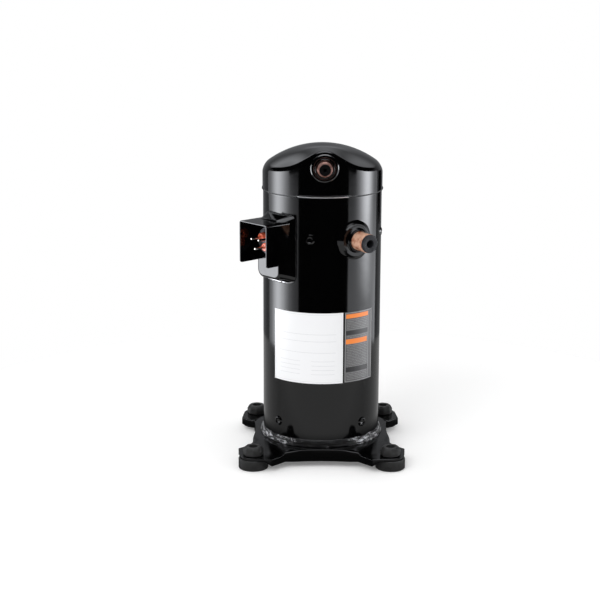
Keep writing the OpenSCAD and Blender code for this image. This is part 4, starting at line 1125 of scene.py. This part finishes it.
# %% Softened copy of the plate
clear()
plate = bpy.data.objects.new("plate", nodes["base_plate"].data.copy())
bpy.context.scene.collection.objects.link(plate)
only(plate)
bpy.ops.mesh.customdata_custom_splitnormals_clear()
bpy.ops.object.mode_set(mode="EDIT")
bpy.ops.mesh.select_all(action="SELECT")
bpy.ops.mesh.remove_doubles(threshold=0.02 * MM)
bpy.ops.mesh.dissolve_limited(angle_limit=math.radians(1.5))
bpy.ops.object.mode_set(mode="OBJECT")
edge = plate.modifiers.new("edge", "BEVEL")
edge.width, edge.segments, edge.limit_method, edge.angle_limit = 0.9 * MM, 3, "ANGLE", math.radians(32)
edge.harden_normals = False
bpy.ops.object.modifier_apply(modifier=edge.name)
finish_piece(plate, "footing", "housing", plate_black, ["base_plate"], angle=32, flat=True)

# %% [markdown]
# ## Grommets
#
# Each rubber grommet is a thick disc that carries the weight, a neck through the plate, and an
# eight-sided boss on top that keeps it from pulling through. It is turned round, and then the points
# of the boss are pulled in towards the sides of an octagon. The four are copies.

# %% One grommet
disc_r, bolt_r = 20.7, mounts["mounting_bolts"]["dims"]["hole_r_mm"]
spacing = mounts["mounting_bolts"]["dims"]["spacing_x_mm"] / 2
disc_h, arm_top, boss_top, boss_r = 14.5, 18.5, 31.0, 14.5
grommet = turn(
    [(bolt_r, 0.6), (bolt_r + 0.8, 0), (disc_r - 1.6, 0)] + list(arc((disc_r - 1.4, 1.4), 1.4, -80, 0, 4))
    + [(disc_r, disc_h - 1.3)] + list(arc((disc_r - 1.2, disc_h - 1.2), 1.2, 0, 90, 4))
    + [(11.2, disc_h), (11, disc_h + 0.4), (11, arm_top - 0.2), (11.4, arm_top),
       (boss_r - 0.9, arm_top + 0.02), (boss_r, arm_top + 0.8), (boss_r, arm_top + 5.4),
       (boss_r, boss_top - 5.6), (boss_r - 0.4, boss_top - 4.4), (boss_r - 2.6, boss_top - 0.9),
       (boss_r - 3.4, boss_top - 0.15), (boss_r - 4.2, boss_top),
       (bolt_r + 0.9, boss_top), (bolt_r + 0.25, boss_top - 0.3), (bolt_r, boss_top - 1), (bolt_r, 0.6)], 96)
for vertex in grommet.data.vertices:
    x, y, z = vertex.co / MM
    radius, angle = math.hypot(x, y), math.degrees(math.atan2(y, x))
    if z > arm_top and radius > bolt_r + 1.5:
        off = math.radians((angle + 22.5) % 45 - 22.5)
        side = math.cos(math.radians(22.5)) / math.cos(off)
        side = -math.log(math.exp(-90 * side) + math.exp(-90 * 0.985)) / 90
        keep = 1 - ease((radius - bolt_r - 1.5) / 2)
        vertex.co.x *= keep + (1 - keep) * side
        vertex.co.y *= keep + (1 - keep) * side
eighth = Matrix.Rotation(math.pi / 8, 4, "Z")
feet = [copy_at(grommet, Matrix.Translation((sx * spacing * MM, sy * spacing * MM, 0)) @ eighth)
        for sx in (-1, 1) for sy in (-1, 1)]
bpy.data.objects.remove(grommet)
finish_piece(join(feet), "rubber_feet", "housing", grommet_rubber, ["grommets"], angle=28)
